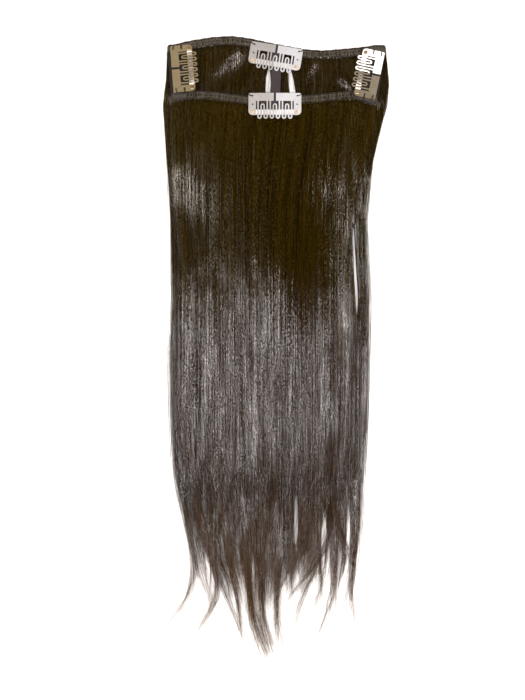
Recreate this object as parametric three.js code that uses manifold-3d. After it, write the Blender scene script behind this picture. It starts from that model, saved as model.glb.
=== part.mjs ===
// A clip-in hair extension: two rows of straight dark hair, each sewn to its own weft track. Three straps
// join the rows, and four snap clips are sewn on top. It lies flat with the hair tips towards -Y.
// Lengths are in millimetres and angles in degrees.
import * as THREE from 'three';
import { mergeVertices } from 'three/addons/utils/BufferGeometryUtils.js';
import Module from 'manifold-3d';

const wasm = await Module();
wasm.setup();

// Clearances
const softGap = 0.3;
const layerGap = 0.5;
const metalGap = 0.15;

// The two rows of hair
const upperRowWidth = 133.5;
const lowerRowWidth = 124.3;
const upperRowShift = -0.6;
const lowerRowShift = -2;
const rowSpacing = 32.2;
const upperWaveHeight = 4.5;
const lowerWaveHeight = 3;
const upperHairLength = 365;
const lowerHairLength = 345;
const upperHairDepth = 4.5;
const lowerHairDepth = 4;
const rootDepth = 1.2;
const crownFallShare = 0.35;

// Weft tracks and straps
const trackHeight = 5.5;
const trackThickness = 2;
const strapThickness = 0.8;
const sideStrapWidth = 9;
const centreStrapWidth = 6.1;
const strapOverlap = 4.8;

// Snap clip, seen from outside: its length lies along X and its sewn edge is at the top
const clipLength = 32;
const clipHeight = 13.3;
const sheetThickness = 0.5;
const footRadius = 2.4;
const shoulderRadius = 1.2;
const barHeight = 4.8;
const barSplit = 1.4;
const fingerPitch = 7.4;
const legPitch = 1.85;
const wireWidth = 0.9;
const fingerReach = 2.4;
const archDrop = 1.5;
const cheekWidth = 4.55;
const partingGap = 0.2;
const domeRise = 0.8;
const cornerHoleInset = 2.4;
const cornerHoleDrop = 1.6;
const cornerSlotWidth = 0.3;
const sewingHoleInset = 2.5;
const sewingHoleRise = 6.5;
const sewingHoleRadius = 0.5;
const sewingSlotWidth = 0.5;
const bridgeHeight = 3.05;
const bridgeInset = 1;
const bridgeRadius = 1.4;
const rivetInset = 2.6;
const rivetRise = 1.85;
const rivetHoleRadius = 0.75;
const rivetShankRadius = 0.6;
const rivetHeadRadius = 1.2;
const rivetTailRadius = 1;
const rivetHeadHeight = 0.35;
const rivetDimpleRadius = 0.5;

// Where the middle of each clip's sewn edge is and how it lies. A row's clip is placed from its weft. A side
// clip is placed from its strap: how far down it, how far out from its middle and how it turns from its line.
const upperClipRise = 1.7;
const upperClipShift = 0.4;
const upperClipTurn = -9.3;
const lowerClipRise = 4.2;
const lowerClipShift = 0.3;
const leftClipDrop = 16.3;
const leftClipOut = 2.7;
const leftClipTurn = 0;
const leftClipTilt = 20;
const rightClipDrop = 19.8;
const rightClipOut = 3.5;
const rightClipTurn = -3;
const rightClipTilt = -16;

const hairMaterial = new THREE.MeshStandardMaterial({ color: 0x3a2e22, roughness: 0.45, metalness: 0 });
const weftMaterial = new THREE.MeshStandardMaterial({ color: 0x2e2a26, roughness: 0.8, metalness: 0 });
const ribbonMaterial = new THREE.MeshStandardMaterial({ color: 0x4b3f42, roughness: 0.75, metalness: 0 });
const steelMaterial = new THREE.MeshStandardMaterial({ color: 0xb9ada0, roughness: 0.35, metalness: 0.9 });
const brassMaterial = new THREE.MeshStandardMaterial({ color: 0xa88d6b, roughness: 0.3, metalness: 0.9 });

// Reads a column of a table at a place between its rows, in straight lines.
function read(rows, key, at, column) {
  const next = rows.findIndex((row) => row[key] >= at);
  if (next === 0) {
    return rows[0][column];
  }
  if (next < 0) {
    return rows[rows.length - 1][column];
  }
  const [before, after] = [rows[next - 1], rows[next]];
  const share = (at - before[key]) / (after[key] - before[key]);
  return THREE.MathUtils.lerp(before[column], after[column], share);
}

// Tables. Lengths are shares of the named sizes: across is a share of half a row's width, down is a share
// of the row's hair length, and rise is a share of the row's wave height.
const upperWave = [
  { across: -1, rise: -0.43 },
  { across: -0.8, rise: 0.34 },
  { across: -0.58, rise: 0.85 },
  { across: -0.4, rise: 1 },
  { across: -0.25, rise: 0.67 },
  { across: -0.03, rise: -0.05 },
  { across: 0.12, rise: -0.43 },
  { across: 0.24, rise: -0.78 },
  { across: 0.41, rise: -1 },
  { across: 0.56, rise: -0.82 },
  { across: 0.74, rise: -0.58 },
  { across: 0.94, rise: -0.21 },
  { across: 1, rise: -0.43 },
];

const lowerWave = [
  { across: -1, rise: 0.2 },
  { across: -0.92, rise: 0.7 },
  { across: -0.78, rise: 1 },
  { across: -0.58, rise: 0.8 },
  { across: -0.38, rise: 0.2 },
  { across: -0.24, rise: -0.2 },
  { across: 0.03, rise: -0.2 },
  { across: 0.28, rise: 0 },
  { across: 0.45, rise: 0.3 },
  { across: 0.65, rise: 0.8 },
  { across: 0.79, rise: 1 },
  { across: 0.89, rise: 0.4 },
  { across: 1, rise: -0.9 },
];

// Where the sides of the whole fall of hair are, down its length.
const upperOutline = [
  { down: 0, left: -1, right: 1 },
  { down: 0.05, left: -1.01, right: 1.03 },
  { down: 0.09, left: -1.04, right: 1.02 },
  { down: 0.14, left: -1.02, right: 0.94 },
  { down: 0.19, left: -1.01, right: 0.875 },
  { down: 0.25, left: -1.01, right: 0.81 },
  { down: 0.32, left: -0.965, right: 0.81 },
  { down: 0.41, left: -0.95, right: 0.83 },
  { down: 0.5, left: -0.97, right: 0.82 },
  { down: 0.66, left: -0.955, right: 0.8 },
  { down: 0.72, left: -0.93, right: 0.775 },
  { down: 0.79, left: -0.83, right: 0.765 },
  { down: 0.86, left: -0.745, right: 0.73 },
  { down: 0.92, left: -0.635, right: 0.66 },
  { down: 1, left: -0.48, right: 0.53 },
];

const lowerOutline = [
  { down: 0, left: -1, right: 1 },
  { down: 0.05, left: -1.015, right: 0.97 },
  { down: 0.11, left: -1.005, right: 0.88 },
  { down: 0.18, left: -0.975, right: 0.78 },
  { down: 0.27, left: -0.925, right: 0.715 },
  { down: 0.36, left: -0.925, right: 0.745 },
  { down: 0.53, left: -0.945, right: 0.745 },
  { down: 0.67, left: -0.865, right: 0.675 },
  { down: 0.75, left: -0.76, right: 0.575 },
  { down: 0.82, left: -0.61, right: 0.43 },
  { down: 0.89, left: -0.435, right: 0.235 },
  { down: 1, left: -0.19, right: 0.105 },
];

// How full the hair is, from its root depth at 0 to its whole depth at 1.
const upperFullness = [
  { down: 0, full: 0 },
  { down: 0.0105, full: 0 },
  { down: 0.03, full: 0.36 },
  { down: 0.07, full: 0.72 },
  { down: 0.105, full: 0.72 },
  { down: 0.3, full: 1 },
  { down: 0.6, full: 0.92 },
  { down: 0.82, full: 0.5 },
  { down: 0.93, full: 0.2 },
  { down: 1, full: 0 },
];

const lowerFullness = [
  { down: 0, full: 0 },
  { down: 0.0105, full: 0 },
  { down: 0.035, full: 0.4 },
  { down: 0.12, full: 0.85 },
  { down: 0.4, full: 1 },
  { down: 0.7, full: 0.75 },
  { down: 0.9, full: 0.3 },
  { down: 1, full: 0 },
];

// Locks: where each grows, half its width, how far it reaches, where its tip ends up, and from what share
// of its own length it turns towards that place.
const upperLocks = [
  { across: -0.9, width: 0.125, reach: 0.978, tip: -1.04, turn: 0.86 },
  { across: -0.7, width: 0.135, reach: 0.938, tip: -0.655, turn: 0.84 },
  { across: -0.47, width: 0.14, reach: 0.918, tip: -0.444, turn: 0.82 },
  { across: -0.24, width: 0.14, reach: 0.96, tip: -0.243, turn: 0.84 },
  { across: 0, width: 0.14, reach: 1, tip: 0.033, turn: 0.8 },
  { across: 0.24, width: 0.14, reach: 0.973, tip: 0.161, turn: 0.82 },
  { across: 0.47, width: 0.14, reach: 0.983, tip: 0.363, turn: 0.84 },
  { across: 0.7, width: 0.135, reach: 0.9, tip: 0.564, turn: 0.82 },
  { across: 0.9, width: 0.125, reach: 0.966, tip: 0.739, turn: 0.8 },
];

const lowerLocks = [
  { across: -0.9, width: 0.125, reach: 0.953, tip: -0.862, turn: 0.82 },
  { across: -0.7, width: 0.135, reach: 0.887, tip: -0.592, turn: 0.82 },
  { across: -0.47, width: 0.14, reach: 0.965, tip: -0.292, turn: 0.84 },
  { across: -0.24, width: 0.14, reach: 1, tip: -0.032, turn: 0.84 },
  { across: 0, width: 0.14, reach: 0.983, tip: 0.086, turn: 0.84 },
  { across: 0.24, width: 0.14, reach: 0.979, tip: 0.027, turn: 0.86 },
  { across: 0.47, width: 0.14, reach: 0.887, tip: 0.052, turn: 0.84 },
  { across: 0.7, width: 0.135, reach: 0.86, tip: 0.3, turn: 0.82 },
  { across: 0.9, width: 0.125, reach: 0.816, tip: 0.695, turn: 0.8 },
];

// Partings where the hair of the upper row stands open, from top to bottom, with how far each leans.
const upperPartings = [
  { across: -0.076, width: 0.045, from: 0.032, to: 0.11, lean: 0 },
  { across: 0.147, width: 0.048, from: 0.028, to: 0.115, lean: 0.07 },
  { across: 0.722, width: 0.066, from: 0.255, to: 0.42, lean: 0 },
];

const bandSteps = 24;
const lockStations = [0, 0.0105, 0.035, 0.09, 0.18, 0.3, 0.45, 0.6, 0.73, 0.84, 0.93, 1];
const lockStagger = 0.25;
const lockStraightShare = 0.7;
const lockTipShare = 0.2;
const waveFadeShare = 0.25;
const crownStartShare = 0.15;
const crownFullShare = 0.3;
const tipRunShare = 0.04;

// Heights that the pieces stack up to
const upperTrackFloor = rootDepth + softGap;
const upperTrackTop = upperTrackFloor + trackThickness;
const heightAt = (depth, fullness, down) => {
  const full = read(fullness, 'down', down, 'full');
  return rootDepth + (depth - rootDepth) * full;
};
const upperHairHeight = (down) => heightAt(upperHairDepth, upperFullness, down);
const lowerRootFloor = upperHairHeight(rowSpacing / upperHairLength) + layerGap;
const lowerTrackFloor = lowerRootFloor + rootDepth + softGap;
const lowerTrackTop = lowerTrackFloor + trackThickness;

// A row's hair is fullest along its middle and falls away to its sides, but for a flat stretch at the top.
function crown(across, down) {
  const share = THREE.MathUtils.clamp((down - crownStartShare) / (crownFullShare - crownStartShare), 0, 1);
  return 1 - crownFallShare * share * Math.min(across * across, 1);
}

// The height of the surface that the lower row's hair lies on.
function upperHairSurface(x, y) {
  const down = -y / upperHairLength;
  const across = (x - upperRowShift) / (upperRowWidth / 2);
  const pastTips = THREE.MathUtils.clamp((1 + tipRunShare - down) / tipRunShare, 0, 1);
  const level = Math.max(upperHairHeight(down) * crown(across, down), 0);
  return layerGap + level * pastTips;
}

const upperRow = {
  centre: upperRowShift,
  half: upperRowWidth / 2,
  y: 0,
  waveHeight: upperWaveHeight,
  wave: upperWave,
  length: upperHairLength,
  depth: upperHairDepth,
  outline: upperOutline,
  fullness: upperFullness,
  locks: upperLocks,
  partings: upperPartings,
  rootFloor: 0,
  stagger: 0,
  floor: () => 0,
};

const lowerRow = {
  centre: lowerRowShift,
  half: lowerRowWidth / 2,
  y: -rowSpacing,
  waveHeight: lowerWaveHeight,
  wave: lowerWave,
  length: lowerHairLength,
  depth: lowerHairDepth,
  outline: lowerOutline,
  fullness: lowerFullness,
  locks: lowerLocks,
  partings: [],
  rootFloor: lowerRootFloor,
  stagger: lockStagger,
  floor: upperHairSurface,
};

// How far the weft of a row waves above its middle line.
function waveOf(row, across) {
  return row.waveHeight * read(row.wave, 'across', THREE.MathUtils.clamp(across, -1, 1), 'rise');
}

// The line of a row's weft, read at a place across the whole piece.
function rowLine(row, x) {
  return row.y + waveOf(row, (x - row.centre) / row.half);
}

// A closed three.js geometry as a solid that can be joined and cut.
function solid(geometry) {
  const bare = geometry.clone();
  bare.deleteAttribute('normal');
  bare.deleteAttribute('uv');
  const merged = mergeVertices(bare, 1e-5);
  const vertProperties = new Float32Array(merged.attributes.position.array);
  const triVerts = new Uint32Array(merged.index.array);
  return new wasm.Manifold(new wasm.Mesh({ numProp: 3, vertProperties, triVerts }));
}

// A solid's faces as a three.js geometry.
function geometryOf(body) {
  const { vertProperties, triVerts } = body.getMesh();
  const geometry = new THREE.BufferGeometry();
  geometry.setAttribute('position', new THREE.BufferAttribute(vertProperties, 3));
  geometry.setIndex(new THREE.BufferAttribute(triVerts, 1));
  geometry.computeVertexNormals();
  return geometry;
}

// Moves each vertex of a geometry to the place that a function works out from where it was.
function reshape(geometry, place) {
  const position = geometry.attributes.position;
  for (let index = 0; index < position.count; index += 1) {
    const [x, y, z] = place(position.getX(index), position.getY(index), position.getZ(index));
    position.setXYZ(index, x, y, z);
  }
  geometry.computeVertexNormals();
  return geometry;
}

function named(name, geometry, material) {
  const mesh = new THREE.Mesh(geometry, material);
  mesh.name = name;
  return mesh;
}

// A flat plate cut to a shape, between two heights.
function plate(shape, from, to) {
  const depth = to - from;
  const geometry = new THREE.ExtrudeGeometry(shape, { depth, bevelEnabled: false, curveSegments: 2 });
  return geometry.translate(0, 0, from);
}

function polygon(points) {
  return new THREE.Shape(points.map(([x, y]) => new THREE.Vector2(x, y)));
}

// Hair

// One lock: a low D-shaped bundle that follows the outline of the fall of hair and narrows to its tip.
function lock(row, { across, width, reach, tip, turn }, index) {
  const sides = 6;
  const steps = lockStations.length - 1;
  const geometry = new THREE.CylinderGeometry(1, 1, 1, sides, steps, false, Math.PI / sides);
  const edgeAt = (share, down) => {
    const left = read(row.outline, 'down', down, 'left');
    const right = read(row.outline, 'down', down, 'right');
    return THREE.MathUtils.lerp(left, right, (share + 1) / 2);
  };
  const swing = tip - edgeAt(across, reach);
  return reshape(geometry, (x, y, z) => {
    const station = lockStations[Math.round((0.5 - y) * steps)];
    const down = station * reach;
    const narrowing = Math.max(station - lockStraightShare, 0) / (1 - lockStraightShare);
    const half = width * THREE.MathUtils.lerp(1, lockTipShare, narrowing);
    const middle = Math.hypot(x, z) < 0.5;
    const [side, up] = middle ? [0, 0.45] : lockCorner(x, z);
    const share = across + side * half;
    const swung = swing * THREE.MathUtils.smoothstep(station, turn, 1 + tipRunShare);
    const placeX = row.centre + row.half * (edgeAt(share, down) + swung);
    const waveShare = 1 - Math.min(down / waveFadeShare, 1);
    const placeY = row.y + waveOf(row, share) * waveShare - down * row.length;
    const level = heightAt(row.depth, row.fullness, down);
    const floor = row.floor(placeX, placeY) + row.stagger * (index % 2);
    return [placeX, placeY, floor + up * level * crown(share, down)];
  });
}

// The corners of a lock's section: a flat foot, full sides and a rounded back.
function lockCorner(x, z) {
  if (z > 0.5) {
    return [0.55 * Math.sign(x), 1];
  }
  if (z < -0.5) {
    return [0.85 * Math.sign(x), 0];
  }
  return [Math.sign(x), 0.35];
}

// A band that follows the wave of a row, with soft edges.
function band(row, height, floor, thickness) {
  const sides = 8;
  const geometry = new THREE.CylinderGeometry(1, 1, 1, sides, bandSteps, false, Math.PI / sides);
  return reshape(geometry, (x, y, z) => {
    const across = 2 * y;
    const edge = Math.abs(x) > 0.5;
    const sideways = Math.sign(Math.round(x * 10)) * (edge ? 1 : 0.8) * (height / 2);
    const up = Math.sign(Math.round(z * 10)) * (edge ? 0.5 : 1) * (thickness / 2);
    const placeY = row.y + waveOf(row, across) - sideways;
    return [row.centre + row.half * across, placeY, floor + thickness / 2 + up];
  });
}

// A slim opening with pointed ends, right through the hair.
function parting(row, { across, width, from, to, lean }) {
  const steps = 8;
  const edge = (side) => Array.from({ length: steps + 1 }, (_, step) => {
    const share = step / steps;
    const x = across + lean * (share - 0.5) + side * (width / 2) * Math.sin(Math.PI * share);
    const down = THREE.MathUtils.lerp(from, to, share);
    return [row.centre + row.half * x, row.y - row.length * down];
  });
  const points = [...edge(-1), ...edge(1).slice(1, -1).reverse()];
  return solid(plate(polygon(points), -rootDepth, 3 * row.depth));
}

function hair(name, row) {
  const root = solid(band(row, trackHeight, row.rootFloor, rootDepth));
  const whole = row.locks.reduce((body, entry, index) => body.add(solid(lock(row, entry, index))), root);
  const parted = row.partings.reduce((body, entry) => body.subtract(parting(row, entry)), whole);
  return named(name, geometryOf(parted), hairMaterial);
}

// Snap clips

const clipHalf = clipLength / 2;
const barFoot = clipHeight - barHeight;
const bridgeTop = sheetThickness;
const plateFloor = bridgeTop + metalGap;
const plateTop = plateFloor + sheetThickness;
const rivetAcross = clipHalf - rivetInset;

// The line that parts the comb from a cheek: a thin cut up from the slot beside the fingers to the corner
// hole, and an open slot from there to the corner.
const cornerHole = [clipHalf - cornerHoleInset, clipHeight - cornerHoleDrop];
const slotTop = [clipHalf - cheekWidth - partingGap, barFoot];
const belowSlotTop = slotTop.map((value, axis) => value - 0.2 * (cornerHole[axis] - value));
const pastCorner = [clipHalf + 1, clipHeight + cornerHoleDrop / cornerHoleInset];

const flip = (side, [x, y]) => [side * x, y];

function roundedPlate(halfLength, bottom, top, bottomRadius, topRadius) {
  const shape = new THREE.Shape();
  shape.absarc(halfLength - bottomRadius, bottom + bottomRadius, bottomRadius, -Math.PI / 2, 0);
  shape.absarc(halfLength - topRadius, top - topRadius, topRadius, 0, Math.PI / 2);
  shape.absarc(topRadius - halfLength, top - topRadius, topRadius, Math.PI / 2, Math.PI);
  shape.absarc(bottomRadius - halfLength, bottom + bottomRadius, bottomRadius, Math.PI, 1.5 * Math.PI);
  return shape;
}

function round(x, y, radius, sides = 8) {
  const corner = (index) => (2 * Math.PI * index) / sides;
  const points = Array.from({ length: sides }, (_, index) => [
    x + radius * Math.cos(corner(index)),
    y + radius * Math.sin(corner(index)),
  ]);
  return polygon(points);
}

// A straight slot between two points.
function slot([x1, y1], [x2, y2], width) {
  const length = Math.hypot(x2 - x1, y2 - y1);
  const [dx, dy] = [((y1 - y2) / length) * (width / 2), ((x2 - x1) / length) * (width / 2)];
  return polygon([
    [x1 + dx, y1 + dy],
    [x1 - dx, y1 - dy],
    [x2 - dx, y2 - dy],
    [x2 + dx, y2 + dy],
  ]);
}

const cutter = (shape) => solid(plate(shape, -clipHeight, clipHeight));

// The blank that comb and cheeks are stamped from, with its parting cuts made.
function blank() {
  const shape = roundedPlate(clipHalf, 0, clipHeight, footRadius, shoulderRadius);
  const whole = solid(plate(shape, plateFloor, plateTop));
  return [-1, 1].reduce((body, side) => {
    const hole = flip(side, cornerHole);
    return body
      .subtract(cutter(slot(flip(side, belowSlotTop), hole, partingGap)))
      .subtract(cutter(slot(hole, flip(side, pastCorner), cornerSlotWidth)))
      .subtract(cutter(round(hole[0], hole[1], sewingHoleRadius)));
  }, whole);
}

// The outline of one finger of the comb: a wire that runs down from the bar, round, up, over, down, round
// and up to the bar again.
function finger(centre) {
  const radius = legPitch / 2;
  const turnSteps = 5;
  const loopCentre = radius + wireWidth / 2 - fingerReach;
  const archCentre = barFoot - archDrop - radius - wireWidth / 2;
  const legTop = barFoot + wireWidth / 2;
  const line = [[centre - 1.5 * legPitch, legTop, 1, 0]];
  const turn = (x, y, over) => {
    for (let step = 0; step <= turnSteps; step += 1) {
      const angle = Math.PI + (over ? -1 : 1) * Math.PI * (step / turnSteps);
      const [cos, sin] = [Math.cos(angle), Math.sin(angle)];
      const inward = over ? 1 : -1;
      line.push([x + radius * cos, y + radius * sin, inward * cos, inward * sin]);
    }
  };
  turn(centre - legPitch, loopCentre, false);
  turn(centre, archCentre, true);
  turn(centre + legPitch, loopCentre, false);
  line.push([centre + 1.5 * legPitch, legTop, -1, 0]);
  const side = (sign) => line.map(([x, y, nx, ny]) => [
    x + sign * nx * (wireWidth / 2),
    y + sign * ny * (wireWidth / 2),
  ]);
  return polygon([...side(1), ...side(-1).reverse()]);
}

// The sprung comb: two halves of the top bar, joined only by the three fingers, and domed along its length.
function combGeometry() {
  const stamped = blank();
  const bars = [-1, 1].map((side) => {
    const region = [[barSplit / 2, barFoot], slotTop, cornerHole, pastCorner, [barSplit / 2, pastCorner[1]]];
    return stamped.intersect(cutter(polygon(region.map((point) => flip(side, point)))));
  });
  const fingers = [-1, 0, 1].map((place) => solid(plate(finger(place * fingerPitch), plateFloor, plateTop)));
  const comb = [...bars.slice(1), ...fingers].reduce((body, piece) => body.add(piece), bars[0]);
  const dome = (x) => domeRise * (1 - Math.abs(x) / clipHalf);
  return reshape(geometryOf(comb), (x, y, z) => [x, y, z + dome(x)]);
}

// A cheek: the end of the plate beside the comb, with its rivet hole and its sewing hole. The sewing holes of
// the side clips are open to the end.
function cheekGeometry(side, open) {
  const inner = clipHalf - cheekWidth;
  const beyond = clipHalf + 1;
  const region = [[inner, -1], [inner, barFoot], slotTop, cornerHole, pastCorner, [beyond, -1]];
  const sewingHole = [clipHalf - sewingHoleInset, sewingHoleRise];
  const body = blank()
    .intersect(cutter(polygon(region.map((point) => flip(side, point)))))
    .subtract(cutter(round(side * rivetAcross, rivetRise, rivetHoleRadius)))
    .subtract(cutter(round(side * sewingHole[0], sewingHole[1], sewingHoleRadius)));
  const mouth = slot(flip(side, sewingHole), [side * beyond, sewingHoleRise], sewingSlotWidth);
  return geometryOf(open ? body.subtract(cutter(mouth)) : body);
}

// The strip behind the fingers that hair is pressed against.
function bridgeGeometry() {
  const half = clipHalf - bridgeInset;
  const foot = rivetRise - bridgeHeight / 2;
  const shape = roundedPlate(half, foot, foot + bridgeHeight, bridgeRadius, bridgeRadius);
  for (const side of [-1, 1]) {
    shape.holes.push(round(side * rivetAcross, rivetRise, rivetHoleRadius));
  }
  return plate(shape, bridgeTop - sheetThickness, bridgeTop);
}

// A rivet turned on its own axis: tail, shank and a head with a dimple.
function rivetGeometry() {
  const tailTop = -metalGap;
  const tailFoot = tailTop - rivetHeadHeight;
  const headFoot = plateTop + metalGap;
  const headTop = headFoot + rivetHeadHeight;
  const edge = 0.1;
  const profile = [
    [0, tailFoot],
    [rivetTailRadius, tailFoot],
    [rivetTailRadius, tailTop],
    [rivetShankRadius, tailTop],
    [rivetShankRadius, headFoot],
    [rivetHeadRadius, headFoot],
    [rivetHeadRadius, headTop - edge],
    [rivetHeadRadius - edge, headTop],
    [rivetDimpleRadius, headTop],
    [rivetDimpleRadius - edge, headFoot + edge],
    [0, headFoot + edge],
  ].map(([x, y]) => new THREE.Vector2(x, y));
  return new THREE.LatheGeometry(profile, 8).rotateX(Math.PI / 2);
}

// A whole clip, placed by the middle of its sewn edge.
function clip(name, { x, y, z, turn, tilt }, open = false) {
  const pieces = new THREE.Group();
  pieces.position.y = -clipHeight;
  pieces.add(named(`${name}_comb`, combGeometry(), steelMaterial));
  pieces.add(named(`${name}_bridge`, bridgeGeometry(), steelMaterial));
  for (const [word, side] of [['left', -1], ['right', 1]]) {
    pieces.add(named(`${name}_${word}_cheek`, cheekGeometry(side, open), steelMaterial));
    const rivet = named(`${name}_${word}_rivet`, rivetGeometry(), brassMaterial);
    rivet.position.set(side * rivetAcross, rivetRise, 0);
    pieces.add(rivet);
  }
  const placed = new THREE.Group();
  placed.add(pieces);
  placed.position.set(x, y, z);
  const { degToRad } = THREE.MathUtils;
  placed.rotation.set(0, degToRad(tilt), degToRad(turn), 'ZYX');
  placed.updateMatrixWorld(true);
  return placed;
}

// A clip that lies on the middle of a row, over the end of the centre strap.
function rowClipPlace(row, shift, rise, turn, trackTop) {
  const x = row.centre + shift;
  const z = trackTop + softGap + strapThickness + softGap - plateFloor;
  return { x, y: rowLine(row, x) + rise, z, turn, tilt: 0 };
}

// The middle line of a strap, from where it is sewn on the upper track to where it is sewn on the lower one.
function strapLine(topX, footX) {
  const top = new THREE.Vector2(topX, rowLine(upperRow, topX) + strapOverlap / 2);
  const foot = new THREE.Vector2(footX, rowLine(lowerRow, footX) - strapOverlap / 2);
  return { top, foot };
}

function sideStrapLine(side) {
  const middleOn = (row) => row.centre + side * (row.half - sideStrapWidth / 2);
  return strapLine(middleOn(upperRow), middleOn(lowerRow));
}

// A clip at a side: its upper end seats on the strap over the upper track, and its lower end is lifted.
function sideClipPlace(side, { top, foot }, { drop, out, turn, tilt }) {
  const { degToRad, radToDeg } = THREE.MathUtils;
  const slope = degToRad(Math.abs(tilt));
  const seat = upperTrackTop + softGap + strapThickness + softGap;
  const z = seat + clipHalf * Math.sin(slope) - plateFloor * Math.cos(slope);
  const along = foot.clone().sub(top).normalize();
  const x = top.x + drop * along.x - side * out * along.y;
  const y = top.y + drop * along.y + side * out * along.x;
  const lean = radToDeg(Math.atan2(along.y, along.x));
  return { x, y, z, turn: lean + (side < 0 ? 180 : 0) + turn, tilt };
}

// The underside of a clip's plate, read at a place in plan.
function undersideOf(place, x, y) {
  const { degToRad } = THREE.MathUtils;
  const rotation = new THREE.Euler(0, degToRad(place.tilt), degToRad(place.turn), 'ZYX');
  const up = new THREE.Vector3(0, 0, 1).applyEuler(rotation);
  const point = up.clone().multiplyScalar(plateFloor).add(new THREE.Vector3(place.x, place.y, place.z));
  return point.z - (up.x * (x - point.x) + up.y * (y - point.y)) / up.z;
}

const upperClipPlace = rowClipPlace(upperRow, upperClipShift, upperClipRise, upperClipTurn, upperTrackTop);
const lowerClipPlace = rowClipPlace(lowerRow, lowerClipShift, lowerClipRise, 0, lowerTrackTop);
const leftStrapLine = sideStrapLine(-1);
const rightStrapLine = sideStrapLine(1);
const leftClipPlace = sideClipPlace(-1, leftStrapLine, {
  drop: leftClipDrop,
  out: leftClipOut,
  turn: leftClipTurn,
  tilt: leftClipTilt,
});
const rightClipPlace = sideClipPlace(1, rightStrapLine, {
  drop: rightClipDrop,
  out: rightClipOut,
  turn: rightClipTurn,
  tilt: rightClipTilt,
});

// Straps

// How a strap runs from the upper track, at 0, to the lower track, at 1. A side strap's lift is 0 on the
// tracks and 1 where it follows the clip above it. The centre strap's sink is 0 on the upper track and 1
// on the lower one.
const sideStrapRun = [
  { down: 0, lift: 0 },
  { down: 0.15, lift: 0 },
  { down: 0.22, lift: 0.6 },
  { down: 0.3, lift: 1 },
  { down: 0.5, lift: 1 },
  { down: 0.74, lift: 1 },
  { down: 0.8, lift: 0.8 },
  { down: 0.85, lift: 0.35 },
  { down: 0.89, lift: 0 },
  { down: 1, lift: 0 },
];

const centreStrapRun = [
  { down: 0, rise: 0 },
  { down: 0.15, rise: 0 },
  { down: 0.21, rise: -0.12 },
  { down: 0.4, rise: -0.12 },
  { down: 0.6, rise: 0.34 },
  { down: 0.76, rise: 0.85 },
  { down: 0.84, rise: 1 },
  { down: 1, rise: 1 },
];

const onUpperTrack = upperTrackTop + softGap;
const onLowerTrack = lowerTrackTop + softGap;

// A flat ribbon along a line, with its foot at the height that a function gives for each step.
function ribbon(run, width, line, height) {
  const steps = run.length - 1;
  const geometry = new THREE.BoxGeometry(width, 1, strapThickness, 1, steps, 1);
  return reshape(geometry, (x, y, z) => {
    const step = run[Math.round((0.5 - y) * steps)];
    const middle = line.top.clone().lerp(line.foot, step.down);
    return [middle.x + x, middle.y, height(step, middle.x + x, middle.y) + z + strapThickness / 2];
  });
}

function sideStrap(name, line, place) {
  const geometry = ribbon(sideStrapRun, sideStrapWidth, line, ({ down, lift }, x, y) => {
    const onTrack = down < 0.5 ? onUpperTrack : onLowerTrack;
    const underClip = undersideOf(place, x, y) - softGap - strapThickness;
    return THREE.MathUtils.lerp(onTrack, underClip, lift);
  });
  return named(name, geometry, ribbonMaterial);
}

function centreStrap() {
  const line = strapLine(upperClipPlace.x, lowerClipPlace.x);
  const height = ({ rise }) => THREE.MathUtils.lerp(onUpperTrack, onLowerTrack, rise);
  const geometry = ribbon(centreStrapRun, centreStrapWidth, line, height);
  return named('centre_strap', geometry, ribbonMaterial);
}

// The whole piece, set with the middle of its foot at the origin.
const pieces = new THREE.Group();
pieces.add(hair('upper_hair', upperRow));
pieces.add(hair('lower_hair', lowerRow));
pieces.add(named(
  'upper_weft_track',
  band(upperRow, trackHeight, upperTrackFloor, trackThickness),
  weftMaterial,
));
pieces.add(named(
  'lower_weft_track',
  band(lowerRow, trackHeight, lowerTrackFloor, trackThickness),
  weftMaterial,
));
pieces.add(sideStrap('left_strap', leftStrapLine, leftClipPlace));
pieces.add(centreStrap());
pieces.add(sideStrap('right_strap', rightStrapLine, rightClipPlace));
pieces.add(clip('upper_clip', upperClipPlace));
pieces.add(clip('lower_clip', lowerClipPlace));
pieces.add(clip('left_clip', leftClipPlace, true));
pieces.add(clip('right_clip', rightClipPlace, true));

const extent = new THREE.Box3().setFromObject(pieces, true);
const middle = extent.getCenter(new THREE.Vector3());
pieces.position.set(-middle.x, -middle.y, -extent.min.z);

const hairExtension = new THREE.Group();
hairExtension.add(pieces);

export default hairExtension;
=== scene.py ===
"""A clip-in hair extension: the finished look of its hair, wefts, ribbons and clips around the frame."""

import math
from collections import namedtuple

import bmesh
import bpy
import numpy as np
from bpy.props import FloatProperty, FloatVectorProperty, IntProperty, PointerProperty
from mathutils import Matrix, Vector
from mathutils.bvhtree import BVHTree


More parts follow.
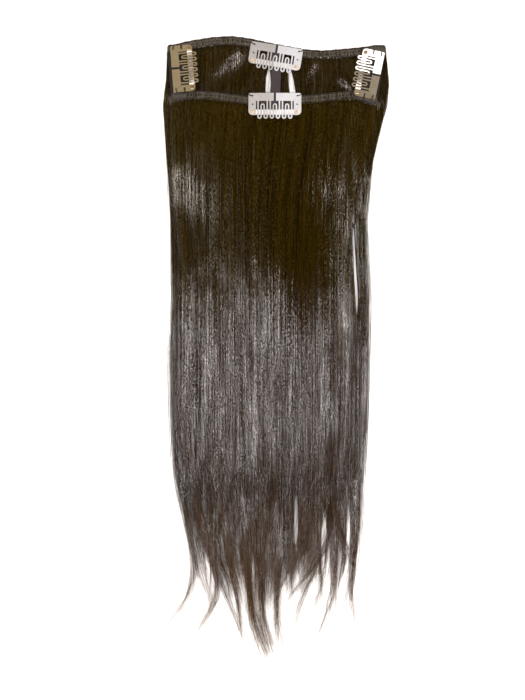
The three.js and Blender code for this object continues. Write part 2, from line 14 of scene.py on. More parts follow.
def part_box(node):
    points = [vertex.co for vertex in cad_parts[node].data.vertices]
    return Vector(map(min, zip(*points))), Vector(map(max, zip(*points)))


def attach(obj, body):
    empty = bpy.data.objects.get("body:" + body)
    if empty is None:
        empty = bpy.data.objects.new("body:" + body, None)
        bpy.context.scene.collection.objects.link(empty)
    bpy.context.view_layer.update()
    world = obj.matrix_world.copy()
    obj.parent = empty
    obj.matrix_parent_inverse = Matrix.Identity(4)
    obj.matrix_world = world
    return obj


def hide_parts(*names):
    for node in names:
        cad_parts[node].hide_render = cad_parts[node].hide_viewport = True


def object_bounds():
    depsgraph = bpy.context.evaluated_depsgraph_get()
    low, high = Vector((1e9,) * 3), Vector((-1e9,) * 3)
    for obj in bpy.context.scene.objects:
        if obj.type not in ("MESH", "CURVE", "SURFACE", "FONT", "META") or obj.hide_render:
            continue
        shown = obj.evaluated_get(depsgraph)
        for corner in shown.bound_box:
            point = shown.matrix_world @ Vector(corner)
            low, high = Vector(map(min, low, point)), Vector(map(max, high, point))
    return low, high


bl_info = {
    "name": "Clip-in Hair Extension",
    "version": (1, 0, 0),
    "blender": (4, 5, 0),
    "location": "3D View > Sidebar > Hair Extension",
    "description": "Dresses a clip-in hair extension in strands, stitched wefts, ribbon and sprung clips",
    "category": "Object",
}

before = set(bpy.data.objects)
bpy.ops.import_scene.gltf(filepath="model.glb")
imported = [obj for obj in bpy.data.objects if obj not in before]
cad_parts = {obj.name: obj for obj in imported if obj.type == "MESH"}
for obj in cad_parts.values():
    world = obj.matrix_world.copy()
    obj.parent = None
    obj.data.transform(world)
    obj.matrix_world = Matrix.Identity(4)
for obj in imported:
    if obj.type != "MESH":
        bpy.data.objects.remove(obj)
cad_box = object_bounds()

MM = 0.001
CLIPS = ("upper", "lower", "left", "right")

# Bunches of strands in a row, and loose hairs over it.
LOCKS = 40
TUFTS = 170
STRAYS = 440

# Thickness of strands and threads, and how close to the floor they may lie.
STRAND_RADIUS = 0.115 * MM
STRAY_RADIUS = 0.06 * MM
THREAD_RADIUS = 0.13 * MM
LOCKSTITCH_RADIUS = 0.16 * MM
FOLD_RADIUS = 0.09 * MM
FLOOR_GAP = 0.2 * MM

# How far down a row its weft's wave dies out, as a share of the row's length.
WAVE_REACH = 0.25

# The longest strand and how much shorter the shortest is, as shares of where most of the hair ends; and the
# most of the strands by a wisp that it takes, and how much shorter its shortest is.
LONGEST = 1.03
RAGGED = 0.34
WISP_TAKES = 0.62
WISP_RAGGED = 0.24

# The core under the strands: how much of the row's width and height it fills, and how far down it reaches.
CORE_WIDTH = 0.985
CORE_FILL = 0.82
CORE_REACH = 0.74
TONGUE_REACH = 0.1
CORE_PARTING = 0.008

# Sewing: roots folded over each weft, threads in a tuft, and how much of a weft's height the stitches cross.
FOLDS = 420
TUFT_THREADS = 50
STITCH_REACH = 0.86

# The camera stands over this place on the floor.
CAMERA_X = -8 * MM
CAMERA_Y = 0.8 * MM
SENSOR_WIDTH = 36

# The sides of each row's fall of hair, as shares of half its weft's width, down shares of its length.
Side = namedtuple("Side", "down left right")
UPPER_SIDES = [
    Side(0, -1, 1),
    Side(0.05, -1.01, 1.03),
    Side(0.09, -1.04, 1.02),
    Side(0.14, -1.02, 0.94),
    Side(0.19, -1, 0.875),
    Side(0.25, -0.98, 0.81),
    Side(0.32, -0.94, 0.81),
    Side(0.41, -0.93, 0.83),
    Side(0.5, -0.95, 0.82),
    Side(0.66, -0.935, 0.8),
    Side(0.72, -0.91, 0.775),
    Side(0.79, -0.83, 0.765),
    Side(0.86, -0.745, 0.73),
    Side(0.92, -0.635, 0.66),
    Side(1, -0.48, 0.53),
]
LOWER_SIDES = [
    Side(0, -1, 1),
    Side(0.05, -1.015, 0.97),
    Side(0.11, -1.005, 0.88),
    Side(0.18, -0.975, 0.78),
    Side(0.27, -0.925, 0.715),
    Side(0.36, -0.925, 0.745),
    Side(0.53, -0.945, 0.745),
    Side(0.67, -0.865, 0.675),
    Side(0.75, -0.76, 0.575),
    Side(0.82, -0.61, 0.43),
    Side(0.89, -0.435, 0.235),
    Side(1, -0.19, 0.105),
]

# Where most of the hair ends, across each row.
End = namedtuple("End", "across down")
UPPER_ENDS = [
    End(-1, 0.86),
    End(-0.8, 0.885),
    End(-0.6, 0.88),
    End(-0.4, 0.885),
    End(-0.2, 0.885),
    End(0, 0.88),
    End(0.2, 0.88),
    End(0.4, 0.875),
    End(0.6, 0.88),
    End(0.8, 0.88),
    End(1, 0.87),
]
LOWER_ENDS = [
    End(-1, 0.8),
    End(-0.7, 0.83),
    End(-0.45, 0.85),
    End(-0.2, 0.865),
    End(0, 0.87),
    End(0.2, 0.86),
    End(0.4, 0.84),
    End(0.6, 0.82),
    End(0.8, 0.81),
    End(1, 0.79),
]

# Wisps that the tips gather into: where each grows, how wide a stretch it takes and how much of it, and
# where it passes on its way down, as shares of half the row's width.
Wisp = namedtuple("Wisp", "root grip share at80 at88 at94 tip reach")
UPPER_WISPS = [
    Wisp(-0.93, 0.08, 0.5, -0.8, -0.725, -0.86, -1.04, 0.981),
    Wisp(-0.72, 0.1, 0.25, -0.66, -0.6, -0.62, -0.655, 0.94),
    Wisp(-0.45, 0.1, 0.25, -0.46, -0.42, -0.42, -0.444, 0.92),
    Wisp(-0.22, 0.1, 0.25, -0.24, -0.25, -0.25, -0.243, 0.96),
    Wisp(0.02, 0.1, 0.5, 0.02, 0.01, 0.01, 0.033, 1.0),
    Wisp(0.42, 0.08, 0.3, 0.381, 0.427, 0.4, 0.161, 0.976),
    Wisp(0.63, 0.1, 0.5, 0.528, 0.528, 0.519, 0.363, 0.986),
    Wisp(0.93, 0.08, 0.6, 0.729, 0.684, 0.684, 0.739, 0.969),
]
LOWER_WISPS = [
    Wisp(-0.86, 0.1, 0.5, -0.602, -0.543, -0.74, -0.862, 0.954),
    Wisp(-0.62, 0.1, 0.45, -0.445, -0.356, -0.327, -0.292, 0.965),
    Wisp(-0.36, 0.16, 1.0, -0.238, -0.243, -0.18, -0.032, 1.0),
    Wisp(-0.12, 0.12, 0.8, -0.11, -0.13, -0.1, -0.01, 0.98),
    Wisp(0.12, 0.1, 0.45, 0.047, 0.017, 0.017, 0.086, 0.983),
    Wisp(0.45, 0.1, 0.4, 0.238, -0.002, -0.03, -0.04, 0.875),
    Wisp(0.7, 0.08, 0.4, 0.518, 0.12, 0.05, 0.04, 0.89),
    Wisp(0.92, 0.08, 0.5, 0.735, 0.58, 0.56, 0.55, 0.85),
]

# Partings where the hair of a row stands open.
Parting = namedtuple("Parting", "across width top foot lean")
UPPER_PARTINGS = [
    Parting(-0.076, 0.045, 0.032, 0.11, 0),
    Parting(0.147, 0.048, 0.028, 0.115, 0.07),
    Parting(0.714, 0.024, 0.225, 0.45, 0.055),
    Parting(0.748, 0.016, 0.27, 0.44, 0.055),
    Parting(0.178, 0.03, 0.72, 0.86, 0),
    Parting(0.434, 0.045, 0.76, 0.88, -0.03),
    Parting(-0.407, 0.03, 0.73, 0.81, 0.02),
    Parting(0.654, 0.028, 0.78, 0.87, 0),
    Parting(-0.5, 0.03, 0.79, 0.87, 0.02),
    Parting(-0.216, 0.03, 0.85, 0.92, 0),
    Parting(-0.63, 0.04, 0.82, 0.9, 0.02),
]
LOWER_PARTINGS = [
    Parting(0.214, 0.032, 0.67, 0.81, 0),
    Parting(0.489, 0.048, 0.7, 0.83, -0.03),
    Parting(-0.415, 0.035, 0.68, 0.77, 0.02),
    Parting(-0.513, 0.03, 0.73, 0.82, 0.02),
    Parting(-0.209, 0.03, 0.8, 0.88, 0),
]

# Dips and mounds in the lie of the hair, which turn its sheen: where, how wide, long and high in mm, and how
# it is turned in degrees.
Swell = namedtuple("Swell", "x y width length height turn")
SWELLS = [
    Swell(-60, 80, 32, 40, -3.2, 0),
    Swell(27, 86, 13, 34, -1.8, -10),
    Swell(-28, 167, 12, 26, -3.2, -39),
    Swell(22, 164, 6, 16, -1.9, -15),
    Swell(42, 158, 7, 12, -1.7, 30),
    Swell(0, 42, 46, 55, 2.2, 0),
    Swell(15, 22, 13, 55, 1.6, 0),
    Swell(35, -26, 10, 60, 1.8, 0),
    Swell(1, -100, 9, 50, -1.5, 0),
    Swell(-5, -150, 75, 72, 2, 0),
]

# Patches of painted shade and painted sheen: each lowers or raises the hair's specular strength at one place,
# with the change of specular strength in place of the height.
PAINTED_SHEEN_PATCHES = [
    Swell(0, 105, 65, 82, -0.75, 0),
    Swell(18, 48, 38, 56, -0.75, 0),
    Swell(43, 12, 9, 45, 0.8, 0),
]

# Where along its length a strand has its places: at set places down the row, close together where the hair
# may stand open, and then at shares of what is left of it.
TOP_PLACES = np.array([0, 0.012, 0.03, 0.05, 0.072, 0.095, 0.118, 0.18, 0.29, 0.42])
SIDE_PLACES = np.array([0, 0.02, 0.06, 0.13, 0.2, 0.255, 0.3, 0.34, 0.38, 0.42])
TIP_SHARES = np.array([0.22, 0.42, 0.6, 0.75, 0.88, 1])
SIDE_FROM = 0.66

Row = namedtuple("Row", "name centre half top length sides ends wisps partings line heights")
Weft = namedtuple("Weft", "name line")

# The stage's lamps: where each stands, its size, brightness and colour, and whether it shows in shiny things.
Lamp = namedtuple("Lamp", "name place size brightness colour seen")
PLAIN, COOL, WARM = (1, 0.96, 0.95), (0.9, 0.95, 1.12), (1, 0.82, 0.5)
LAMPS = [
    Lamp("sheen_light", (0, -0.1, 1.35), (2.0, 0.2), 24.5, PLAIN, True),
    Lamp("fill_from_top", (0, 1.4, 1.2), (1.6, 0.8), 4, PLAIN, False),
    Lamp("fill_from_foot", (0, -1.5, 1.2), (1.6, 0.8), 4, PLAIN, False),
    Lamp("card_left", (-0.18, 0.37, 1.35), (0.28, 0.4), 0.42, COOL, True),
    Lamp("card_right", (0.17, 0.37, 1.35), (0.3, 0.4), 0.78, COOL, True),
    Lamp("card_low_right", (0.32, 1.05, 1.3), (0.3, 0.3), 0.1, PLAIN, True),
    Lamp("card_far_right", (0.42, 1.62, 1.3), (0.5, 0.45), 2.2, PLAIN, True),
    Lamp("card_far_left", (-0.35, 1.7, 1.3), (0.6, 0.9), 0.17, WARM, True),
]


# Reading the frame


def edge_ends(node):
    """The two ends of each edge of a node's mesh, in metres."""
    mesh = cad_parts[node].data
    places = np.empty(len(mesh.vertices) * 3)
    mesh.vertices.foreach_get("co", places)
    pairs = np.empty(len(mesh.edges) * 2, dtype=np.int32)
    mesh.edges.foreach_get("vertices", pairs)
    ends = places.reshape(-1, 3)[pairs.reshape(-1, 2)]
    return ends[:, 0], ends[:, 1]


def span(ends, axis, at):
    """The least and greatest place along the other floor axis where edges cross a line."""
    first, second = ends
    crossing = (first[:, axis] - at) * (second[:, axis] - at) <= 0
    a, b = first[crossing], second[crossing]
    run = b[:, axis] - a[:, axis]
    share = np.where(np.abs(run) > 1e-9, (at - a[:, axis]) / np.where(run == 0, 1, run), 0)
    other = a[:, 1 - axis] + share * (b[:, 1 - axis] - a[:, 1 - axis])
    return other.min(), other.max()


def middle_line(track, steps=60):
    """The line along the middle of a weft track, as places across and the line's Y at each."""
    low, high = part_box(track)
    ends = edge_ends(track)
    across = np.linspace(low.x + MM, high.x - MM, steps)
    return across, np.array([sum(span(ends, 0, x)) / 2 for x in across])


def node_tree(node):
    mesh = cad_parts[node].data
    corners = [vertex.co.copy() for vertex in mesh.vertices]
    return BVHTree.FromPolygons(corners, [tuple(face.vertices) for face in mesh.polygons])


class Heights:
    """The foot and top of a row's solid on a grid, and of what lies under it where the solid is open."""

    step = 1.5 * MM
    thin = 0.9 * MM

    def __init__(self, node, under=None):
        low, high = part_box(node)
        self.x = np.arange(low.x - 6 * MM, high.x + 6 * MM, self.step)
        self.y = np.arange(low.y - 6 * MM, high.y + 6 * MM, self.step)
        tree = node_tree(node)
        down, up = Vector((0, 0, -1)), Vector((0, 0, 1))
        top = np.full((len(self.x), len(self.y)), np.nan)
        foot = np.full_like(top, np.nan)
        for i, x in enumerate(self.x):
            for j, y in enumerate(self.y):
                above = tree.ray_cast(Vector((x, y, 1)), down)[0]
                if above:
                    top[i, j] = above.z
                    foot[i, j] = tree.ray_cast(Vector((x, y, -1)), up)[0].z
        self.solid = ~np.isnan(top)
        ground = under.top_at(*np.meshgrid(self.x, self.y, indexing="ij")) if under else np.zeros_like(top)
        foot = np.where(self.solid, foot, ground)
        top = np.where(self.solid, top, ground + self.thin)
        self.foot = self.soften(foot)
        self.top = self.soften(top)

    @staticmethod
    def soften(grid):
        shifts = [(i, j) for i in range(3) for j in range(3)]
        for _ in range(2):
            padded = np.pad(grid, 1, mode="edge")
            grid = sum(padded[i : i + grid.shape[0], j : j + grid.shape[1]] for i, j in shifts) / 9
        return grid

    def read(self, grid, x, y):
        i = np.clip((x - self.x[0]) / self.step, 0, len(self.x) - 1.001)
        j = np.clip((y - self.y[0]) / self.step, 0, len(self.y) - 1.001)
        i0, j0 = i.astype(int), j.astype(int)
        u, v = i - i0, j - j0
        near = grid[i0, j0] * (1 - v) + grid[i0, j0 + 1] * v
        far = grid[i0 + 1, j0] * (1 - v) + grid[i0 + 1, j0 + 1] * v
        return near * (1 - u) + far * u

    def top_at(self, x, y):
        return self.read(self.top, x, y)

    def foot_at(self, x, y):
        return self.read(self.foot, x, y)


def smoothstep(low, high, value):
    share = np.clip((value - low) / (high - low), 0, 1)
    return share * share * (3 - 2 * share)


def column(rows, name):
    return np.array([getattr(row, name) for row in rows], dtype=float)


def read_row(name, length, sides, ends, wisps, partings, under=None):
    """What one row's hair follows: its weft's place and line, its tables and its solid's heights."""
    low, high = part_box(f"{name}_weft_track")
    return Row(
        name=name,
        centre=(low.x + high.x) / 2,
        half=(high.x - low.x) / 2,
        top=(low.y + high.y) / 2,
        length=length,
        sides=sides,
        ends=ends,
        wisps=wisps,
        partings=partings,
        line=middle_line(f"{name}_weft_track"),
        heights=Heights(f"{name}_hair", under),
    )


def flow(row, across, down):
    """How far across a hair has come at a place down the row's length, as a share of half its width."""
    downs = column(row.sides, "down")
    left = np.interp(down, downs, column(row.sides, "left"))
    right = np.interp(down, downs, column(row.sides, "right"))
    return left + (across + 1) / 2 * (right - left)


def aside(row, across, down, spread):
    """Moves a place that falls in a parting to the parting's nearer side."""
    for parting in row.partings:
        share = (down - parting.top) / (parting.foot - parting.top)
        inside = (share > 0) & (share < 1)
        half = np.where(inside, parting.width / 2 * np.sin(np.pi * np.clip(share, 0, 1)) ** 0.6, 0)
        middle = parting.across + parting.lean * (share - 0.5)
        gap = across - middle
        side = np.where(gap < 0, -1, 1)
        # A strand keeps to the side that it is on halfway down the parting.
        if across.ndim == 2:
            side = np.take_along_axis(side, np.abs(share - 0.5).argmin(axis=1)[:, None], axis=1)
        across = np.where(inside & (gap * side < half + spread), middle + side * (half + spread), across)
    return across


# Making pieces


def finish_piece(piece, body="root"):
    for face in piece.data.polygons:
        face.use_smooth = True
    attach(piece, body)


def add_mesh(name, mesh, material):
    piece = bpy.data.objects.new(name, mesh)
    bpy.context.scene.collection.objects.link(piece)
    mesh.materials.clear()
    mesh.materials.append(material)
    return piece


def add_solid(name, bm, material):
    """A piece made of a closed shape, with its faces turned outward."""
    bmesh.ops.recalc_face_normals(bm, faces=list(bm.faces))
    mesh = bpy.data.meshes.new(name)
    bm.to_mesh(mesh)
    bm.free()
    return add_mesh(name, mesh, material)


def tube_group(sides, seed):
    """Geometry nodes that give each curve a tone of its own and turn it into a thin closed tube."""
    group = bpy.data.node_groups.new("strand_tube", "GeometryNodeTree")
    for way in ("INPUT", "OUTPUT"):
        group.interface.new_socket("Geometry", in_out=way, socket_type="NodeSocketGeometry")
    nodes, links = group.nodes, group.links
    chance = nodes.new("FunctionNodeRandomValue")
    chance.inputs["Seed"].default_value = seed
    tone = nodes.new("GeometryNodeStoreNamedAttribute")
    tone.data_type = "FLOAT"
    tone.domain = "CURVE"
    tone.inputs["Name"].default_value = "tone"
    ring = nodes.new("GeometryNodeCurvePrimitiveCircle")
    ring.inputs["Resolution"].default_value = sides
    ring.inputs["Radius"].default_value = 1
    tube = nodes.new("GeometryNodeCurveToMesh")
    tube.inputs["Fill Caps"].default_value = True
    links.new(nodes.new("NodeGroupInput").outputs[0], tone.inputs["Geometry"])
    links.new(chance.outputs[1], tone.inputs["Value"])
    links.new(tone.outputs[0], tube.inputs["Curve"])
    links.new(ring.outputs["Curve"], tube.inputs["Profile Curve"])
    links.new(nodes.new("GeometryNodeInputRadius").outputs[0], tube.inputs["Scale"])
    links.new(tube.outputs[0], nodes.new("NodeGroupOutput").inputs[0])
    return group


def add_tubes(name, paths, radii, material, sides=3, seed=1, closed=False):
    """One mesh of thin tubes along many lines, each line an array of places with a radius at each."""
    curve = bpy.data.curves.new(name, "CURVE")
    curve.dimensions = "3D"
    for path, radius in zip(paths, radii):
        spline = curve.splines.new("POLY")
        spline.points.add(len(path) - 1)
        spline.use_cyclic_u = closed
        spline.points.foreach_set("co", np.column_stack([path, np.ones(len(path))]).ravel())
        spline.points.foreach_set("radius", np.broadcast_to(radius, len(path)).astype(float))
    line = bpy.data.objects.new(f"{name}_lines", curve)
    bpy.context.scene.collection.objects.link(line)
    modifier = line.modifiers.new("tube", "NODES")
    modifier.node_group = tube_group(sides, seed)
    graph = bpy.context.evaluated_depsgraph_get()
    mesh = bpy.data.meshes.new_from_object(line.evaluated_get(graph))
    mesh.name = name
    bpy.data.objects.remove(line)
    bpy.data.curves.remove(curve)
    return add_mesh(name, mesh, material)


# Materials


class Shader:
    """A new principled material, with short ways to add and join its nodes."""

    def __init__(self, name, **values):
        self.material = bpy.data.materials.new(name)
        self.material.use_nodes = True
        self.nodes = self.material.node_tree.nodes
        self.links = self.material.node_tree.links
        self.surface = self.nodes["Principled BSDF"]
        self.set(self.surface, **values)

    @staticmethod
    def set(node, **values):
        for key, value in values.items():
            node.inputs[key.replace("_", " ")].default_value = value

    def node(self, kind, **values):
        node = self.nodes.new(kind)
        self.set(node, **values)
        return node

    def join(self, output, target):
        self.links.new(output, target)

    def attribute(self, name):
        node = self.nodes.new("ShaderNodeAttribute")
        node.attribute_name = name
        return node.outputs["Fac"]

    def here(self):
        """The shaded point in the piece's own frame."""
        return self.nodes.new("ShaderNodeTexCoord").outputs["Object"]

    def coordinates(self, scale):
        mapping = self.nodes.new("ShaderNodeMapping")
        mapping.inputs["Scale"].default_value = scale
        self.join(self.here(), mapping.inputs["Vector"])
        return mapping.outputs["Vector"]

    def noise(self, scale, detail=2.0, roughness=0.5, stretch=(1, 1, 1)):
        node = self.node("ShaderNodeTexNoise", Scale=scale, Detail=detail, Roughness=roughness)
        self.join(self.coordinates(stretch), node.inputs["Vector"])
        return node.outputs["Fac"]

    def noise_of_its_own(self, scale):
        """A noise along Y that is different on each strand."""
        parts = self.nodes.new("ShaderNodeSeparateXYZ")
        place = self.nodes.new("ShaderNodeCombineXYZ")
        node = self.node("ShaderNodeTexNoise", Scale=scale, Detail=3.0)
        self.join(self.here(), parts.inputs[0])
        self.join(self.attribute("tone"), place.inputs["X"])
        self.join(parts.outputs["Y"], place.inputs["Y"])
        self.join(place.outputs[0], node.inputs["Vector"])
        return node.outputs["Fac"]

    def ramp(self, factor, *stops):
        node = self.nodes.new("ShaderNodeValToRGB")
        elements = node.color_ramp.elements
        while len(elements) < len(stops):
            elements.new(0.5)
        for element, (place, colour) in zip(elements, stops):
            element.position = place
            element.color = (*colour, 1)
        self.join(factor, node.inputs["Fac"])
        return node.outputs["Color"]

    def spread(self, factor, low, high):
        """A factor from 0 to 1 turned into a value between two others."""
        node = self.node("ShaderNodeMapRange")
        node.inputs["To Min"].default_value = low
        node.inputs["To Max"].default_value = high
        self.join(factor, node.inputs["Value"])
        return node.outputs["Result"]

    def blend(self, kind, factor, first, second):
        node = self.nodes.new("ShaderNodeMix")
        node.data_type = "RGBA"
        node.blend_type = kind
        for socket, value in ((0, factor), (6, first), (7, second)):
            if isinstance(value, bpy.types.NodeSocket):
                self.join(value, node.inputs[socket])
            else:
                node.inputs[socket].default_value = value
        return node.outputs[2]

    def bump(self, height, distance):
        node = self.node("ShaderNodeBump", Strength=1.0, Distance=distance)
        self.join(height, node.inputs["Height"])
        self.join(node.outputs["Normal"], self.surface.inputs["Normal"])

    def add(self, first, second):
        node = self.nodes.new("ShaderNodeMath")
        self.join(first, node.inputs[0])
        self.join(second, node.inputs[1])
        return node.outputs[0]

    def swell(self, swell, unit):
        """A soft mound or dip at one place of the floor plan, with its height in a unit."""
        mapping = self.nodes.new("ShaderNodeMapping")
        mapping.vector_type = "TEXTURE"
        mapping.inputs["Location"].default_value = (swell.x * MM, swell.y * MM, 0)
        mapping.inputs["Rotation"].default_value = (0, 0, math.radians(swell.turn))
        mapping.inputs["Scale"].default_value = (swell.width * MM, swell.length * MM, 1)
        reach = self.nodes.new("ShaderNodeVectorMath")
        reach.operation = "LENGTH"
        node = self.nodes.new("ShaderNodeMapRange")
        node.interpolation_type = "SMOOTHERSTEP"
        node.inputs["To Min"].default_value = swell.height * unit
        node.inputs["To Max"].default_value = 0
        self.join(self.here(), mapping.inputs["Vector"])
        self.join(mapping.outputs["Vector"], reach.inputs[0])
        self.join(reach.outputs["Value"], node.inputs["Value"])
        return node.outputs["Result"]

    def ridge(self, place, slope):
        """A height that falls away to both ends of a clip from its middle."""
        along = place.col[0].to_3d()
        reach = self.nodes.new("ShaderNodeVectorMath")
        reach.operation = "DOT_PRODUCT"
        reach.inputs[1].default_value = along
        self.join(self.here(), reach.inputs[0])
        value = reach.outputs["Value"]
        steps = ("SUBTRACT", along.dot(place.translation)), ("ABSOLUTE", 0), ("MULTIPLY", -slope)
        for operation, number in steps:
            node = self.nodes.new("ShaderNodeMath")
            node.operation = operation
            node.inputs[1].default_value = number
            self.join(value, node.inputs[0])
            value = node.outputs[0]
        return value

    def height_along(self, low, high):
        """Where a point is along Y, from 0 at one place to 1 at another."""
        parts = self.nodes.new("ShaderNodeSeparateXYZ")
        node = self.node("ShaderNodeMapRange")
        node.inputs["From Min"].default_value = low
        node.inputs["From Max"].default_value = high
        self.join(self.here(), parts.inputs[0])
        self.join(parts.outputs["Y"], node.inputs["Value"])
        return node.outputs["Result"]

    def colour(self, socket):
        self.join(socket, self.surface.inputs["Base Color"])

    def roughness(self, socket):
        self.join(socket, self.surface.inputs["Roughness"])


def strand_material(colours):
    """Fine dark hair: each strand has its own tone, from olive brown at the root to warm brown at the tip."""
    if "hair_strand" in bpy.data.materials:
        return bpy.data.materials["hair_strand"]
    shader = Shader("hair_strand", IOR=1.5)
    low, high = cad_box[0][1], cad_box[1][1]
    place = shader.height_along(high, low)
    root, middle, tip = (tuple(value) for value in (colours.hair_root, colours.hair_middle, colours.hair_tip))
    length = shader.ramp(place, (0, root), (0.36, root), (0.5, middle), (0.72, middle), (0.94, tip))
    tone = shader.spread(shader.attribute("tone"), 0.25, 1.9)
    streak = shader.spread(shader.noise(900, 2, 0.6, (1, 0.02, 1)), 0.5, 1.5)
    toned = shader.blend("MULTIPLY", 1.0, length, tone)
    grain = shader.noise(1500, 1, 0.5, (1, 0.6, 1))
    toned = shader.blend("MULTIPLY", 1.0, toned, shader.spread(grain, 0, 2))
    shader.colour(shader.blend("MULTIPLY", 1.0, toned, streak))
    shader.roughness(shader.spread(shader.attribute("tone"), 0.29, 0.17))
    shine = shader.spread(shader.noise(1300, 1, 0.5, (1, 0.01, 1)), -0.7, 1.7)
    shine = shader.add(shine, shader.spread(grain, -1.5, 1.5))
    # Painted shade and painted sheen: the patches lower or raise the specular strength at set places.
    for patch in PAINTED_SHEEN_PATCHES:
        shine = shader.add(shine, shader.swell(patch, 1))
    shader.join(shine, shader.surface.inputs["Specular IOR Level"])
    # Painted shade: the specular tint is olive along a band near the roots that the sheen misses, which gives
    # the dim reflections there the colour of unlit hair. It turns nearly white where the sheen falls.
    olive = 0.9, 0.8, 0.45
    tint = shader.ramp(
        place, (0.085, (1, 0.93, 0.88)), (0.11, olive), (0.16, olive),
        (0.22, (1, 0.94, 0.84)), (0.48, (1, 1, 1)),
    )
    shader.join(tint, shader.surface.inputs["Specular Tint"])
    relief = shader.spread(shader.noise(16, 1, 0.4, (1, 0.6, 1)), 0, 3 * MM)
    relief = shader.add(relief, shader.spread(shader.noise(75, 2, 0.5, (1, 0.2, 1)), 0, 3.2 * MM))
    relief = shader.add(relief, shader.spread(shader.noise_of_its_own(60), 0, 1.35 * MM))
    for swell in SWELLS:
        relief = shader.add(relief, shader.swell(swell, MM))
    shader.bump(relief, 1.0)
    return shader.material


def core_material(colours):
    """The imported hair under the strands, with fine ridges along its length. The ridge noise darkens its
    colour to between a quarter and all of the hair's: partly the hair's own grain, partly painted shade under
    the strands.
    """
    shader = Shader("hair_core", Roughness=0.55, Specular_IOR_Level=0.35, IOR=1.55)
    low, high = cad_box[0][1], cad_box[1][1]
    place = shader.height_along(high, low)
    root, middle, tip = (tuple(value) for value in (colours.hair_root, colours.hair_middle, colours.hair_tip))
    length = shader.ramp(place, (0, root), (0.35, middle), (0.8, middle), (1, tip))
    fine = shader.noise(2600, 3, 0.6, (1, 0.02, 1))
    # Painted shade: the darkening by the ridge noise also stands for the shade under the strands.
    shader.colour(shader.blend("MULTIPLY", 1.0, length, shader.spread(fine, 0.25, 1.0)))
    shader.bump(fine, 0.15 * MM)
    return shader.material


def weft_material(colours):
    """Weft tape wrapped in hair and thread."""
    shader = Shader("weft_tape", Roughness=0.8, Specular_IOR_Level=0.3)
    fibre = shader.noise(1800, 4, 0.7, (1, 0.5, 1))
    dark = tuple(0.45 * part for part in colours.weft)
    shader.colour(shader.ramp(fibre, (0.25, dark), (0.75, tuple(colours.weft))))
    shader.roughness(shader.spread(fibre, 0.6, 0.95))
    shader.bump(fibre, 0.2 * MM)
    return shader.material


def thread_material(name, colour):
    """Spun sewing thread, each thread a random tone between half its colour and its colour."""
    shader = Shader(name, Roughness=0.6, Specular_IOR_Level=0.4)
    tone = shader.attribute("tone")
    dark = tuple(0.5 * part for part in colour)
    shader.colour(shader.ramp(tone, (0, dark), (1, tuple(colour))))
    spun = shader.noise(5200, 2, 0.5, (1, 1, 1))
    shader.roughness(shader.spread(spun, 0.45, 0.75))
    shader.bump(spun, 0.05 * MM)
    return shader.material


def ribbon_material(name, colour):
    """Ribbed polyester ribbon with a soft sheen."""
    shader = Shader(name, Roughness=0.65, Specular_IOR_Level=0.35, Sheen_Weight=0.15, Sheen_Roughness=0.4)
    yarn = shader.noise(2400, 3, 0.6, (0.4, 1, 1))
    dark = tuple(0.6 * part for part in colour)
    shader.colour(shader.ramp(yarn, (0.25, dark), (0.8, tuple(colour))))
    shader.roughness(shader.spread(yarn, 0.5, 0.8))
    shader.bump(yarn, 0.06 * MM)
    return shader.material


def steel_material(name, colour, roughness, bend=None):
    """Nickel-plated spring steel with a fine grain, faint scratches and duller patches."""
    shader = Shader(name, Metallic=1.0, Roughness=roughness)
    patches = shader.noise(260, 3, 0.55)
    grain = shader.noise(4200, 2, 0.6, (1, 0.08, 1))
    warm = tuple(part * shade for part, shade in zip(colour, (0.96, 0.94, 0.91)))
    shader.colour(shader.ramp(patches, (0.35, warm), (0.65, tuple(colour))))
    shader.roughness(shader.spread(patches, roughness - 0.04, roughness + 0.06))
    relief = shader.spread(grain, 0, 0.004 * MM)
    if bend:
        relief = shader.add(relief, shader.ridge(*bend))
    shader.bump(relief, 1.0)
    return shader.material


def brass_material(colours):
    """Turned brass of the eyelet rivets, with random darker tarnish."""
    shader = Shader("rivet_brass", Metallic=1.0, Roughness=0.3)
    tarnish = shader.noise(900, 3, 0.6)
    dark = tuple(0.55 * part for part in colours.brass)
    shader.colour(shader.ramp(tarnish, (0.3, dark), (0.65, tuple(colours.brass))))
    shader.roughness(shader.spread(tarnish, 0.22, 0.5))
    shader.bump(tarnish, 0.02 * MM)
    return shader.material


def floor_material():
    """Plain pale paper."""
    shader = Shader("pale_floor", Roughness=0.9, Specular_IOR_Level=0.1)
    mottle = shader.noise(14, 3, 0.5)
    shader.colour(shader.ramp(mottle, (0.3, (0.88, 0.87, 0.87)), (0.7, (0.92, 0.92, 0.92))))
    return shader.material


# Hair


def strand_places(across, reach):
    """How far down its row each strand has its places."""
    fixed = np.where(across[:, None] > SIDE_FROM, SIDE_PLACES, TOP_PLACES)
    last = fixed[:, -1:]
    return np.concatenate([fixed, last + (reach[:, None] - last) * TIP_SHARES], axis=1)


def wisp_path(row, wisp, down):
    """Where the middle of a wisp is at each place down its length."""
    start = 0.7
    downs = [start, 0.8, 0.88, 0.94, max(wisp.reach, 0.945)]
    places = [flow(row, wisp.root, start), wisp.at80, wisp.at88, wisp.at94, wisp.tip]
    return np.interp(down, downs, places)


